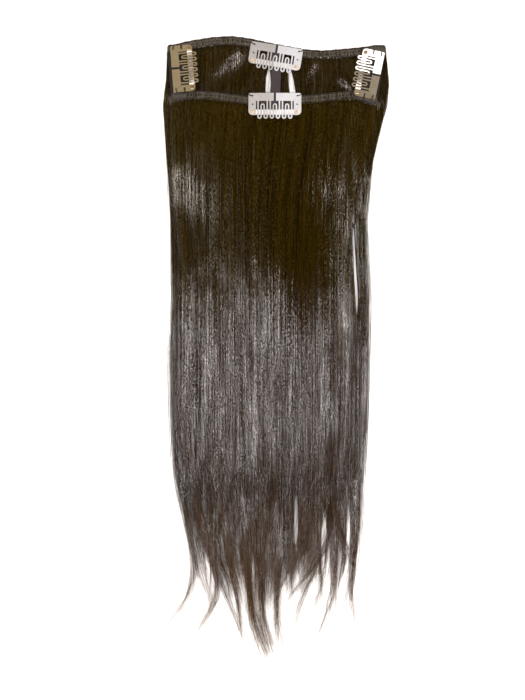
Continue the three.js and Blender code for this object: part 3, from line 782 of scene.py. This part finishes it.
class Clumps:
    """Bunches that the strands of a row gather in, each with its own middle, tightness, sway and length."""

    def __init__(self, rng, across, number):
        self.middles = (np.arange(number) + 0.5 + rng.uniform(-0.3, 0.3, number)) / number * 2 - 1
        near = across[:, None] + rng.normal(0, 0.5 / number, (len(across), 1))
        self.of = np.abs(near - self.middles).argmin(axis=1)
        self.tightness = rng.uniform(0.35, 0.8, number)
        self.waves = rng.uniform(0, 2 * np.pi, (3, number))
        self.reach = rng.normal(0, 0.02, number)

    def draw(self, row, place, down, share, sway, ends):
        """Draws each strand to the middle of its bunch, more so towards the tips."""
        tight = self.tightness[self.of][:, None]
        pull = tight * smoothstep(0.1, 0.75, down) + ends * (1 - tight) * smoothstep(0.74, 0.93, down)
        target = flow(row, self.middles[self.of][:, None], down)
        wave = sum(
            size * np.sin(2 * np.pi * times * down + self.waves[number][self.of][:, None])
            for number, (times, size) in enumerate(((1.7, 1.0), (3.9, 0.55), (7.3, 0.25)))
        )
        return place + (target - place) * pull * share + sway * smoothstep(0.05, 0.8, down) * wave


def lie(row, x, start, down):
    """The Y of hair that grows from a place across its weft, and its row's foot and top under it."""
    wave = np.interp(start, *row.line) - row.top
    y = row.top + wave * (1 - np.clip(down / WAVE_REACH, 0, 1)) - down * row.length
    return y, row.heights.foot_at(x, y), row.heights.top_at(x, y)


def strand_paths(row, count, seed, lowest, highest):
    """The lines that the strands of one row follow, with how thick each is at each of its places."""
    rng = np.random.default_rng(seed)
    across = rng.uniform(-1, 1, count)
    locks, tufts = Clumps(rng, across, LOCKS), Clumps(rng, across, TUFTS)
    reach = np.interp(across, column(row.ends, "across"), column(row.ends, "down"))
    reach = (reach + locks.reach[locks.of]) * (LONGEST - RAGGED * rng.random(count) ** 1.5)
    wisp_of = np.full(count, -1)
    for number, wisp in enumerate(row.wisps):
        taken = (np.abs(across - wisp.root) < wisp.grip) & (rng.random(count) < WISP_TAKES * wisp.share)
        wisp_of[taken] = number
        reach[taken] = wisp.reach * (1 - WISP_RAGGED * rng.random(taken.sum()) ** 1.2)
    down = strand_places(across, reach)
    place = flow(row, across[:, None], down)
    place = locks.draw(row, place, down, 1.0, 0.011, 0.7)
    place = tufts.draw(row, place, down, 0.4, 0.006, 0)
    own = rng.normal(0, 1, (count, 1)) * 0.008 * smoothstep(0.05, 0.9, down)
    swing = rng.normal(0, 0.005, (count, 1))
    turns = down * rng.uniform(1, 3.5, (count, 1)) + own * 50
    bend = swing * np.sin(2 * np.pi * turns)
    drift = rng.normal(0, 1, (count, 1)) * 0.026 * smoothstep(0.66, 1.0, down)
    place = place + own + bend * smoothstep(0.05, 0.3, down) + drift
    for number, wisp in enumerate(row.wisps):
        taken = wisp_of == number
        if not taken.any():
            continue
        path = wisp_path(row, wisp, down[taken])
        offset = place[taken] - flow(row, wisp.root, down[taken])
        narrow = 1 - (0.85 - 0.3 * wisp.share) * smoothstep(0.68, 0.9, down[taken])
        fan = rng.normal(0, 0.045 * wisp.share, (taken.sum(), 1)) * smoothstep(0.8, 1, down[taken])
        gathered = path + offset * narrow + fan
        place[taken] = place[taken] + (gathered - place[taken]) * smoothstep(0.68, 0.8, down[taken])
    place = aside(row, place, down, 0.004 + 0.012 * rng.random((count, 1)))
    x = row.centre + row.half * place
    y, foot, top = lie(row, x, x[:, :1], down)
    level = rng.uniform(lowest, highest, (count, 1))
    z = foot + (top - foot) * level
    lift = rng.normal(0, 1, (count, 1)) ** 2 * 0.3 * MM * smoothstep(0.3, 1, down)
    z = np.maximum(z + lift, FLOOR_GAP)
    radius = STRAND_RADIUS * (1 - 0.68 * smoothstep(0.64, 0.92, down)) * rng.uniform(0.7, 1.3, (count, 1))
    return np.stack([x, y, z], axis=-1), radius


def stray_paths(row, count, seed):
    """Loose hairs: some stand off the sides of the fall and some wander over its top."""
    rng = np.random.default_rng(seed)
    outside = rng.random(count) < 0.55
    side = np.where(rng.random(count) < 0.6, -1, 1)
    across = np.where(outside, side * rng.uniform(0.9, 1, count), rng.uniform(-0.95, 0.95, count))
    reach = np.where(outside, rng.uniform(0.6, 0.96, count), rng.uniform(0.5, 0.95, count))
    down = strand_places(0 * across, reach)
    place = flow(row, across[:, None], down)
    bulge = rng.uniform(0.1, 1.0, count)[:, None] * 0.075
    rise, fall = rng.uniform(0.15, 0.6, count)[:, None], rng.uniform(0.5, 1.1, count)[:, None]
    off = side[:, None] * bulge * smoothstep(rise * 0.4, rise + 0.15, down) * (1.15 - 0.6 * down / fall)
    turn = rng.normal(0, 0.06, (count, 1)) * smoothstep(0.2, 0.9, down)
    bend = rng.normal(0, 0.02, (count, 1)) * np.sin(2 * np.pi * down * rng.uniform(0.8, 2, (count, 1)))
    place = place + np.where(outside[:, None], off, turn + bend)
    x = row.centre + row.half * place
    y, foot, top = lie(row, x, x[:, :1], down)
    level = np.where(outside[:, None], rng.uniform(0.1, 1, (count, 1)), rng.uniform(1.0, 1.1, (count, 1)))
    z = np.maximum(foot + (top - foot) * level, FLOOR_GAP)
    radius = STRAY_RADIUS * (1 - 0.4 * smoothstep(0.5, 0.9, down)) * rng.uniform(0.7, 1.3, (count, 1))
    return np.stack([x, y, z], axis=-1), radius


def add_core(row, name, material, columns=110, rows=80):
    """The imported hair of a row: a ridged sheet with a flat foot, cut into tongues at its end."""
    bm = bmesh.new()
    bmesh.ops.create_grid(bm, x_segments=columns, y_segments=rows, size=1)
    bm.verts.ensure_lookup_table()
    grid = np.array([vertex.co for vertex in bm.verts])
    across, share = grid[:, 0] * CORE_WIDTH, (1 - grid[:, 1]) / 2
    ends = np.interp(across, column(row.ends, "across"), column(row.ends, "down"))
    tongues = 0.5 + 0.5 * np.cos(2 * np.pi * across * 4.3) * np.cos(2 * np.pi * across * 2.1 + 0.7)
    ends = ends * (CORE_REACH + TONGUE_REACH * tongues)
    down = share * ends
    place = flow(row, across, down)
    parted = aside(row, place, down, CORE_PARTING)
    side = np.where(np.abs(parted - place) > 1e-9, np.sign(parted - place), 0)
    x = row.centre + row.half * parted
    start_x = row.centre + row.half * flow(row, across, 0 * down)
    y, foot, top = lie(row, x, start_x, down)
    fade = np.clip((1 - share) / 0.12, 0.12, 1) * np.clip((1 - np.abs(grid[:, 0])) / 0.03, 0.15, 1)
    ridges = 0.06 * np.sin(across * 190 + 3 * np.sin(7 * down)) + 0.05 * np.sin(across * 83 + 5 * down)
    thickness = np.maximum(top - foot, 0.2 * MM)
    z = foot + thickness * (CORE_FILL + ridges) * fade
    for vertex, corner in zip(bm.verts, np.stack([x, y, z], axis=-1)):
        vertex.co = corner
    split = [
        face for face in bm.faces
        if min(side[v.index] for v in face.verts) < 0 < max(side[v.index] for v in face.verts)
    ]
    bmesh.ops.delete(bm, geom=split, context="FACES")
    lower = bmesh.ops.extrude_face_region(bm, geom=list(bm.faces))
    low_corners = [item for item in lower["geom"] if isinstance(item, bmesh.types.BMVert)]
    places = np.array([vertex.co for vertex in low_corners])
    feet = row.heights.foot_at(places[:, 0], places[:, 1])
    for vertex, height in zip(low_corners, feet):
        vertex.co.z = min(height + 0.05 * MM, vertex.co.z - 0.05 * MM)
    return add_solid(name, bm, material)


def add_row_hair(row, counts, seed, colours):
    """The core and the strands of a row, which together stand for its solid."""
    core = add_core(row, f"{row.name}_hair_core", core_material(colours))
    finish_piece(core)
    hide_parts(f"{row.name}_hair")
    material = strand_material(colours)
    for number, (count, lowest, highest) in enumerate(counts):
        paths, radii = strand_paths(row, count, seed + number, lowest, highest)
        name = f"{row.name}_hair_strands_{number + 1}"
        strands = add_tubes(name, paths, radii, material, seed=seed + number)
        finish_piece(strands)
    paths, radii = stray_paths(row, STRAYS, seed + len(counts))
    strays = add_tubes(f"{row.name}_hair_strays", paths, radii, material, seed=seed + len(counts))
    finish_piece(strays)


# Wefts


def track_path(weft, node, steps):
    """Places along the middle of a weft track, with the direction across it at each."""
    low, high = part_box(node)
    x = np.linspace(low.x + 0.3 * MM, high.x - 0.3 * MM, steps)
    y = np.interp(x, *weft.line)
    slope = np.gradient(y, x)
    turn = np.stack([-slope, np.ones_like(slope)], axis=-1)
    turn /= np.linalg.norm(turn, axis=1, keepdims=True)
    return x, y, turn


def add_weft_band(weft, material, sizes):
    """The folded tape of a weft: two soft cords side by side with a groove between them."""
    node = f"{weft.name}_weft_track"
    low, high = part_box(node)
    around, steps = 16, 240
    x, y, turn = track_path(weft, node, steps + 1)
    bm = bmesh.new()
    bmesh.ops.create_grid(bm, x_segments=around, y_segments=steps, size=1)
    half, middle = sizes.track_height / 2, (low.z + high.z) / 2
    rise = (high.z - low.z) / 2
    for vertex in bm.verts:
        angle = math.pi * vertex.co.x
        step = round((vertex.co.y + 1) / 2 * steps)
        side = -math.cos(angle)
        cords = 0.78 + 0.22 * math.cos(4 * math.pi * side * 0.5 + math.pi)
        wobble = 1 + 0.05 * math.sin(step * 1.7) + 0.04 * math.sin(step * 0.61 + 2)
        out = side * half * wobble
        up = math.sin(angle) * rise * cords
        ends = min(1, 0.35 + min(step, steps - step) / 6)
        place = x[step] + turn[step][0] * out, y[step] + turn[step][1] * out * ends
        vertex.co = (*place, middle + up * ends)
    bmesh.ops.remove_doubles(bm, verts=list(bm.verts), dist=0.01 * MM)
    bmesh.ops.holes_fill(bm, edges=list(bm.edges), sides=around + 2)
    return add_solid(f"{weft.name}_weft_band", bm, material)


def zigzag(x, y, turn, z, reach, pitch, shift=0.0):
    """A thread that runs to and fro across a weft."""
    length = np.concatenate([[0], np.cumsum(np.hypot(np.diff(x), np.diff(y)))])
    stitches = int(length[-1] / pitch)
    places = np.linspace(0, length[-1], stitches * 4 + 1)
    phase = np.arange(len(places)) / 4 + shift
    side = np.interp(phase % 1, [0, 0.25, 0.75, 1], [0, 1, -1, 0])
    px, py = np.interp(places, length, x), np.interp(places, length, y)
    tx, ty = np.interp(places, length, turn[:, 0]), np.interp(places, length, turn[:, 1])
    lift = z + 0.12 * MM * np.cos(2 * np.pi * phase * 2)
    return np.stack([px + tx * side * reach, py + ty * side * reach, lift], axis=-1)


def weft_threads(weft, sizes):
    """Two crossing zigzags and two rows of lockstitch."""
    node = f"{weft.name}_weft_track"
    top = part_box(node)[1].z + 0.1 * MM
    x, y, turn = track_path(weft, node, 400)
    reach = sizes.track_height / 2 * STITCH_REACH
    paths = [zigzag(x, y, turn, top, reach, sizes.stitch_pitch, shift) for shift in (0.0, 0.5)]
    radii = [THREAD_RADIUS] * len(paths)
    for side in (-0.45, 0.5):
        wave = 0.1 * MM * np.sin(np.arange(len(x)) * 2.1)
        paths.append(np.stack([
            x + turn[:, 0] * side * reach, y + turn[:, 1] * side * reach, top + wave
        ], axis=-1))
        radii.append(LOCKSTITCH_RADIUS)
    return paths, radii


def weft_folds(weft, sizes, rng):
    """Roots of hair folded over the tape."""
    node = f"{weft.name}_weft_track"
    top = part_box(node)[1].z + 0.1 * MM
    x, y, turn = track_path(weft, node, 400)
    paths = []
    for place in rng.uniform(0, len(x) - 1, FOLDS):
        index = int(place)
        lean = rng.normal(0, 0.7) * MM
        top_end, foot_end = 0.5 + 0.55 * rng.random(), -1.15
        shares = np.linspace(top_end, foot_end, 6)
        across = shares * sizes.track_height / 2
        bend = np.linspace(0, 1, 6)
        height = top + 0.05 * MM + 0.25 * MM * rng.random() - np.where(np.abs(shares) > 0.95, 0.5 * MM, 0)
        paths.append(np.stack([
            x[index] + turn[index][0] * across + lean * bend,
            y[index] + turn[index][1] * across,
            height,
        ], axis=-1))
    return paths, [FOLD_RADIUS] * len(paths)


# Ribbons


def add_ribbon(node, material, sizes):
    """A ribbed ribbon that follows a strap's solid, with a woven edge along each side."""
    low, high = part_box(node)
    ends = edge_ends(node)
    tree = node_tree(node)
    steps = int((high.y - low.y) / sizes.rib_pitch) * 4
    columns = 12
    bm = bmesh.new()
    bmesh.ops.create_grid(bm, x_segments=columns, y_segments=steps, size=1)
    stations = np.linspace(low.y + 0.05 * MM, high.y - 0.05 * MM, steps + 1)
    edges = [span(ends, 1, y) for y in stations]
    thickness = sizes.ribbon_thickness
    for vertex in bm.verts:
        step = round((vertex.co.y + 1) / 2 * steps)
        left, right = edges[step]
        to_end = min(stations[step] - low.y, high.y - stations[step])
        short = sizes.end_round * (1 - math.sqrt(1 - (1 - min(to_end / sizes.end_round, 1)) ** 2))
        left, right = left + short, right - short
        share = (vertex.co.x + 1) / 2
        x = left + (right - left) * share
        inner = min(max(x, left + 0.1 * MM), right - 0.1 * MM)
        hit = tree.ray_cast(Vector((inner, stations[step], 1)), Vector((0, 0, -1)))[0]
        rib = 0.09 * MM * math.cos(2 * math.pi * step / 4)
        selvedge = 0.08 * MM if min(share, 1 - share) < 0.1 else 0
        vertex.co = (x, stations[step], (hit.z if hit else high.z) - 0.12 * MM + rib + selvedge)
    lower = bmesh.ops.extrude_face_region(bm, geom=list(bm.faces))
    for item in lower["geom"]:
        if isinstance(item, bmesh.types.BMVert):
            item.co.z -= thickness
    return add_solid(f"{node}_ribbon", bm, material)


def strap_stitches(node, line, sizes):
    """Zigzags that sew an end of a side strap to the weft under it."""
    low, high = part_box(node)
    tree = node_tree(node)
    x = np.linspace(low.x + 0.3 * MM, high.x - 0.3 * MM, 30)
    y = np.clip(np.interp(x, *line), low.y + 2.4 * MM, high.y - 2.4 * MM)
    hits = [tree.ray_cast(Vector((a, b, 1)), Vector((0, 0, -1)))[0] for a, b in zip(x, y)]
    known = [index for index, hit in enumerate(hits) if hit]
    x, y = x[known], y[known]
    top = np.array([hits[index].z for index in known]).max() + 0.1 * MM
    turn = np.tile([0.0, 1.0], (len(x), 1))
    reach = sizes.track_height / 2 * STITCH_REACH
    return [zigzag(x, y, turn, top, reach, sizes.stitch_pitch, shift) for shift in (0.0, 0.3, 0.6)]


def strap_tuft(node, sizes, rng):
    """Frayed ends of thread that hang from the foot of a side strap."""
    low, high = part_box(node)
    paths, radii = [], []
    for _ in range(TUFT_THREADS):
        x = rng.uniform(low.x + 1 * MM, high.x - 1 * MM)
        start = low.y + rng.uniform(0, 3) * MM
        length = sizes.tuft_length * rng.uniform(0.4, 1.2)
        shares = np.linspace(0, 1, 5)
        drift = rng.normal(0, 1.1) * MM
        height = low.z + 0.9 * MM + rng.uniform(0, 0.5) * MM
        paths.append(np.stack([
            x + drift * shares + rng.normal(0, 0.12, 5) * MM,
            start - length * shares,
            height - 0.5 * MM * shares,
        ], axis=-1))
        radii.append(rng.uniform(0.05, 0.1) * MM)
    return paths, radii


# Clips


def clip_place(clip):
    """A clip's own frame: its middle at the rivets, X along it, Y to its sewn edge and Z out of its plate."""
    def middle(node):
        low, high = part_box(node)
        return (low + high) / 2

    left, right = middle(f"{clip}_clip_left_rivet"), middle(f"{clip}_clip_right_rivet")
    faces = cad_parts[f"{clip}_clip_left_cheek"].data.polygons
    widest = max(faces, key=lambda face: face.area * (face.normal.z > 0))
    along = (right - left).normalized()
    out = (widest.normal - along * widest.normal.dot(along)).normalized()
    place = Matrix((along, out.cross(along), out)).transposed().to_4x4()
    place.translation = (left + right) / 2
    return place, (right - left).length / 2


def thread_loop(place, start, end, twist):
    """One turn of thread that comes up through a hole at one place and goes down past an edge at another."""
    angles = np.linspace(0, 2 * np.pi, 14, endpoint=False)
    reach = (1 - np.cos(angles)) / 2
    height = 0.2 * MM + 0.72 * MM * np.sin(angles)
    lean = 0.12 * MM * np.sin(angles + twist)
    return np.array([
        place @ Vector((start[0] + (end[0] - start[0]) * r, start[1] + (end[1] - start[1]) * r + b, h))
        for r, b, h in zip(reach, lean, height)
    ])


def clip_stitches(clip, sizes, rng):
    """Turns of thread through the holes in the cheeks: past the ends, and at the corners past the corners."""
    place, rivet_across = clip_place(clip)
    end = rivet_across + sizes.rivet_inset
    at_side = clip in ("left", "right")
    hole = end - sizes.corner_inset, sizes.corner_rise
    paths = []
    for side in (-1, 1):
        for number in range(5):
            step = (number - 2) * 0.17 * MM + rng.normal(0, 0.03) * MM
            start = side * (hole[0] + 0.1 * MM), hole[1] - 0.25 * MM + 0.4 * step
            if at_side:
                finish = side * (end + 0.25 * MM), hole[1] - 0.4 * MM + step
            else:
                finish = (
                    side * (end - 0.1 * MM + 0.5 * abs(step)),
                    hole[1] + 0.95 * MM - 0.5 * abs(step) + 0.5 * step,
                )
            paths.append(thread_loop(place, start, finish, rng.uniform(0, 6.28)))
            if at_side:
                rise = sizes.sewing_rise + step
                inner = side * (end - sizes.sewing_inset), rise
                outer = side * (end + 0.25 * MM), rise
                paths.append(thread_loop(place, inner, outer, rng.uniform(0, 6.28)))
    return paths


def add_clip_seams(clip, material, sizes):
    """The thin sheet between a clip's comb and cheeks, as two strips on each side."""
    place, rivet_across = clip_place(clip)
    end = rivet_across + sizes.rivet_inset
    hole = Vector((end - sizes.corner_inset, sizes.corner_rise))
    slot_top = Vector((end - sizes.cheek_width - sizes.seam_width, sizes.bar_foot_rise))
    corner = Vector((end - 0.2 * MM, sizes.corner_rise + (sizes.corner_inset - 0.2 * MM) * 2 / 3))
    bm = bmesh.new()
    for side in (-1, 1):
        for start, finish, width in ((slot_top, hole, 0.8), (hole, corner, 1.25)):
            run = (finish - start).normalized()
            across = Vector((-run.y, run.x)) * sizes.seam_width * width / 2
            first, last = (start + run * 0.1 * MM, finish - run * 0.5 * MM)
            if start is hole:
                first, last = start + run * 0.5 * MM, finish
            corners = []
            for height in (sizes.plate_rise, sizes.plate_rise + sizes.plate_thickness):
                for point in (first + across, first - across, last - across, last + across):
                    corners.append(bm.verts.new(place @ Vector((side * point.x, point.y, height))))
            for ring in ((0, 1, 2, 3), (7, 6, 5, 4), (0, 4, 5, 1), (1, 5, 6, 2), (2, 6, 7, 3), (3, 7, 4, 0)):
                bm.faces.new([corners[index] for index in ring])
    return add_solid(f"{clip}_clip_seams", bm, material)


# What a user would change


def length(name, description, value):
    return FloatProperty(name=name, description=description, default=value, unit="LENGTH")


def shade(name, description, value):
    return FloatVectorProperty(
        name=name, description=description, default=value, subtype="COLOR", min=0, max=1
    )


class HairSizes(bpy.types.PropertyGroup):
    upper_length: length("Upper hair length", "Longest hair of the upper row", 365 * MM)
    lower_length: length("Lower hair length", "Longest hair of the lower row", 345 * MM)
    upper_strands: IntProperty(name="Upper strands", description="Strands on the upper row", default=3900)
    lower_strands: IntProperty(name="Lower strands", description="Strands on the lower row", default=3900)


class SewnSizes(bpy.types.PropertyGroup):
    cheek_bend: FloatProperty(
        name="Cheek bend", description="How steeply a clip's cheeks fall away", default=0.07
    )
    end_round: length("Ribbon end round", "Round of the ribbon's ends", 2.2 * MM)
    tuft_length: length("Tuft length", "Length of the frayed thread at the straps' feet", 4 * MM)
    track_height: length("Weft height", "Height of a weft's tape", 5.5 * MM)
    stitch_pitch: length("Stitch pitch", "Length of one zigzag stitch on a weft", 1.9 * MM)
    rib_pitch: length("Rib pitch", "Distance between the ribs of the ribbon", 0.8 * MM)
    ribbon_thickness: length("Ribbon thickness", "Thickness of the ribbon", 0.55 * MM)
    rivet_inset: length("Rivet inset", "From a clip's end to its rivet", 2.6 * MM)
    sewing_inset: length("Sewing hole inset", "From a clip's end to its sewing hole", 2.5 * MM)
    sewing_rise: length("Sewing hole rise", "From the rivets to the sewing holes", 4.65 * MM)
    corner_inset: length("Corner hole inset", "From a clip's end to its corner hole", 2.4 * MM)
    corner_rise: length("Corner hole rise", "From the rivets to the corner holes", 9.85 * MM)
    cheek_width: length("Cheek width", "Width of a clip's cheeks", 4.55 * MM)
    bar_foot_rise: length("Bar foot rise", "From the rivets to the foot of the bar", 6.65 * MM)
    seam_width: length("Seam width", "Width of the bend between comb and cheek", 0.2 * MM)
    plate_rise: length("Plate rise", "From the rivets' middle to the plate", 0.075 * MM)
    plate_thickness: length("Plate thickness", "Thickness of a clip's sheet", 0.5 * MM)


class Colours(bpy.types.PropertyGroup):
    hair_root: shade("Hair at the root", "Colour of the hair by the wefts", (0.017, 0.010, 0.0005))
    hair_middle: shade("Hair in the middle", "Colour of the hair down its length", (0.026, 0.015, 0.009))
    hair_tip: shade("Hair at the tip", "Colour of the hair at its tips", (0.085, 0.044, 0.021))
    weft: shade("Weft", "Colour of the weft tape", (0.02, 0.016, 0.013))
    thread: shade("Thread", "Colour of the thread on the wefts", (0.14, 0.125, 0.1))
    clip_thread: shade("Clip thread", "Colour of the thread that holds the clips", (0.03, 0.022, 0.016))
    ribbon: shade("Ribbon", "Colour of the middle ribbon strap", (0.037, 0.027, 0.031))
    side_ribbon: shade("Side ribbon", "Colour of the ribbon straps at the sides", (0.009, 0.007, 0.005))
    steel: shade("Clip steel", "Colour of the clips' plating", (0.86, 0.85, 0.84))
    brass: shade("Rivet brass", "Colour of the rivets", (0.62, 0.47, 0.3))


class StageSizes(bpy.types.PropertyGroup):
    camera_height: length("Camera height", "Height of the camera over the floor", 1.05)
    view_height: length("View height", "Length of floor that the picture takes in", 0.4277)
    floor_size: length("Floor size", "Side of the floor", 6.0)


class HairExtensionSettings(bpy.types.PropertyGroup):
    hair: PointerProperty(type=HairSizes)
    sewn: PointerProperty(type=SewnSizes)
    colours: PointerProperty(type=Colours)
    stage: PointerProperty(type=StageSizes)


def settings():
    return bpy.context.scene.hair_extension


# Operators


class HAIREXT_OT_stage(bpy.types.Operator):
    """Sets the camera straight over the hair, with a pale floor and soft lights"""

    bl_idname = "hair_extension.stage"
    bl_label = "Stage"

    def execute(self, context):
        sizes = settings().stage
        scene = context.scene
        scene.view_settings.view_transform = "Standard"
        self.add_camera(scene, sizes)
        self.add_floor(scene, sizes)
        self.add_lights(scene)
        return {"FINISHED"}

    @staticmethod
    def add_camera(scene, sizes):
        camera = bpy.data.cameras.new("camera")
        camera.sensor_width = SENSOR_WIDTH
        camera.lens = camera.sensor_width * sizes.camera_height / sizes.view_height
        holder = bpy.data.objects.new("camera", camera)
        holder.location = (CAMERA_X, CAMERA_Y, sizes.camera_height)
        scene.collection.objects.link(holder)
        scene.camera = holder

    @staticmethod
    def add_floor(scene, sizes):
        bm = bmesh.new()
        bmesh.ops.create_grid(bm, x_segments=2, y_segments=2, size=sizes.floor_size / 2)
        mesh = bpy.data.meshes.new("floor")
        bm.to_mesh(mesh)
        bm.free()
        add_mesh("floor", mesh, floor_material())

    @staticmethod
    def add_lights(scene):
        world = bpy.data.worlds.new("pale_room")
        world.use_nodes = True
        background = world.node_tree.nodes["Background"]
        background.inputs["Color"].default_value = (1, 0.72, 0.36, 1)
        background.inputs["Strength"].default_value = 0.22
        scene.world = world
        for name, place, size, brightness, colour, seen in LAMPS:
            lamp = bpy.data.lights.new(name, "AREA")
            lamp.shape = "RECTANGLE"
            lamp.size, lamp.size_y = size
            lamp.energy = brightness * math.pi * size[0] * size[1]
            lamp.color = colour
            holder = bpy.data.objects.new(name, lamp)
            holder.location = place
            holder.rotation_euler = (-Vector(place)).to_track_quat("-Z", "Y").to_euler()
            holder.visible_glossy = seen
            scene.collection.objects.link(holder)


class HAIREXT_OT_hair(bpy.types.Operator):
    """Lays both rows of hair: a packed core and fine strands over it"""

    bl_idname = "hair_extension.hair"
    bl_label = "Hair"

    def execute(self, context):
        sizes, colours = settings().hair, settings().colours
        upper = read_row("upper", sizes.upper_length, UPPER_SIDES, UPPER_ENDS, UPPER_WISPS, UPPER_PARTINGS)
        lower = read_row(
            "lower", sizes.lower_length, LOWER_SIDES, LOWER_ENDS, LOWER_WISPS, LOWER_PARTINGS, upper.heights
        )
        half_upper, half_lower = sizes.upper_strands // 2, sizes.lower_strands // 2
        add_row_hair(upper, [(half_upper, 0.82, 1.05), (half_upper, 0.02, 0.6)], 11, colours)
        add_row_hair(lower, [(half_lower, 0.84, 1.02), (half_lower, 0.86, 1.08)], 41, colours)
        return {"FINISHED"}


class HAIREXT_OT_wefts(bpy.types.Operator):
    """Makes the two stitched weft tapes"""

    bl_idname = "hair_extension.wefts"
    bl_label = "Wefts"

    def execute(self, context):
        sizes, colours = settings().sewn, settings().colours
        tape = weft_material(colours)
        thread = thread_material("weft_thread", colours.thread)
        hair = bpy.data.materials["hair_strand"]
        for number, name in enumerate(("upper", "lower")):
            node = f"{name}_weft_track"
            weft = Weft(name, middle_line(node))
            band = add_weft_band(weft, tape, sizes)
            finish_piece(band)
            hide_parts(node)
            rng = np.random.default_rng(71 + number)
            paths, radii = weft_folds(weft, sizes, rng)
            folds = add_tubes(f"{name}_weft_folds", paths, radii, hair, sides=3, seed=15 + number)
            finish_piece(folds)
            paths, radii = weft_threads(weft, sizes)
            stitches = add_tubes(f"{name}_weft_threads", paths, radii, thread, sides=5, seed=5 + number)
            finish_piece(stitches)
        return {"FINISHED"}


class HAIREXT_OT_straps(bpy.types.Operator):
    """Makes the three ribbon straps that join the rows"""

    bl_idname = "hair_extension.straps"
    bl_label = "Straps"

    def execute(self, context):
        sizes, colours = settings().sewn, settings().colours
        side = ribbon_material("side_ribbon", colours.side_ribbon)
        middle = ribbon_material("middle_ribbon", colours.ribbon)
        thread = bpy.data.materials["weft_thread"]
        rng = np.random.default_rng(53)
        for node in ("left_strap", "centre_strap", "right_strap"):
            ribbon = add_ribbon(node, middle if node == "centre_strap" else side, sizes)
            finish_piece(ribbon)
            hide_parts(node)
            if node != "centre_strap":
                lines = (middle_line("lower_weft_track"), middle_line("upper_weft_track"))
                paths = [path for line in lines for path in strap_stitches(node, line, sizes)]
                radii = [THREAD_RADIUS] * len(paths)
                stitches = add_tubes(f"{node}_stitches", paths, radii, thread, sides=5, seed=9)
                finish_piece(stitches)
                paths, radii = strap_tuft(node, sizes, rng)
                tuft = add_tubes(f"{node}_tuft", paths, radii, thread, sides=3, seed=7)
                finish_piece(tuft)
        return {"FINISHED"}


class HAIREXT_OT_clips(bpy.types.Operator):
    """Plates the clips and rivets and sews the clips on"""

    bl_idname = "hair_extension.clips"
    bl_label = "Clips"

    def execute(self, context):
        sizes, colours = settings().sewn, settings().colours
        comb = steel_material("clip_comb", colours.steel, 0.16)
        strip = steel_material("clip_bridge", [part * 0.7 for part in colours.steel], 0.34)
        brass = brass_material(colours)
        thread = thread_material("clip_thread", colours.clip_thread)
        rng = np.random.default_rng(97)
        for number, clip in enumerate(CLIPS):
            bend = clip_place(clip)[0], sizes.cheek_bend
            cheek = steel_material(f"{clip}_cheek", colours.steel, 0.16, bend)
            kinds = {"rivet": brass, "bridge": strip, "comb": comb, "cheek": cheek}
            for name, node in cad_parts.items():
                if name.startswith(f"{clip}_clip_"):
                    node.data.materials.clear()
                    node.data.materials.append(kinds[name.split("_")[-1]])
            seams = add_clip_seams(clip, cheek, sizes)
            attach(seams, "root")
            paths = clip_stitches(clip, sizes, rng)
            radii = [THREAD_RADIUS] * len(paths)
            stitches = add_tubes(
                f"{clip}_clip_stitches", paths, radii, thread, sides=5, seed=number, closed=True
            )
            finish_piece(stitches)
        return {"FINISHED"}


class HAIREXT_PT_panel(bpy.types.Panel):
    """Lists the steps that dress the hair extension"""

    bl_idname = "HAIREXT_PT_panel"
    bl_label = "Hair Extension"
    bl_space_type = "VIEW_3D"
    bl_region_type = "UI"
    bl_category = "Hair Extension"

    def draw(self, context):
        for step in STEPS:
            self.layout.operator(step.bl_idname)


STEPS = (HAIREXT_OT_stage, HAIREXT_OT_hair, HAIREXT_OT_wefts, HAIREXT_OT_straps, HAIREXT_OT_clips)
CLASSES = (HairSizes, SewnSizes, Colours, StageSizes, HairExtensionSettings, *STEPS, HAIREXT_PT_panel)


def register():
    for item in CLASSES:
        bpy.utils.register_class(item)
    bpy.types.Scene.hair_extension = PointerProperty(type=HairExtensionSettings)


def unregister():
    del bpy.types.Scene.hair_extension
    for item in reversed(CLASSES):
        bpy.utils.unregister_class(item)


def main():
    register()
    bpy.ops.hair_extension.stage()
    bpy.ops.hair_extension.hair()
    bpy.ops.hair_extension.wefts()
    bpy.ops.hair_extension.straps()
    bpy.ops.hair_extension.clips()


if __name__ == "__main__":
    main()
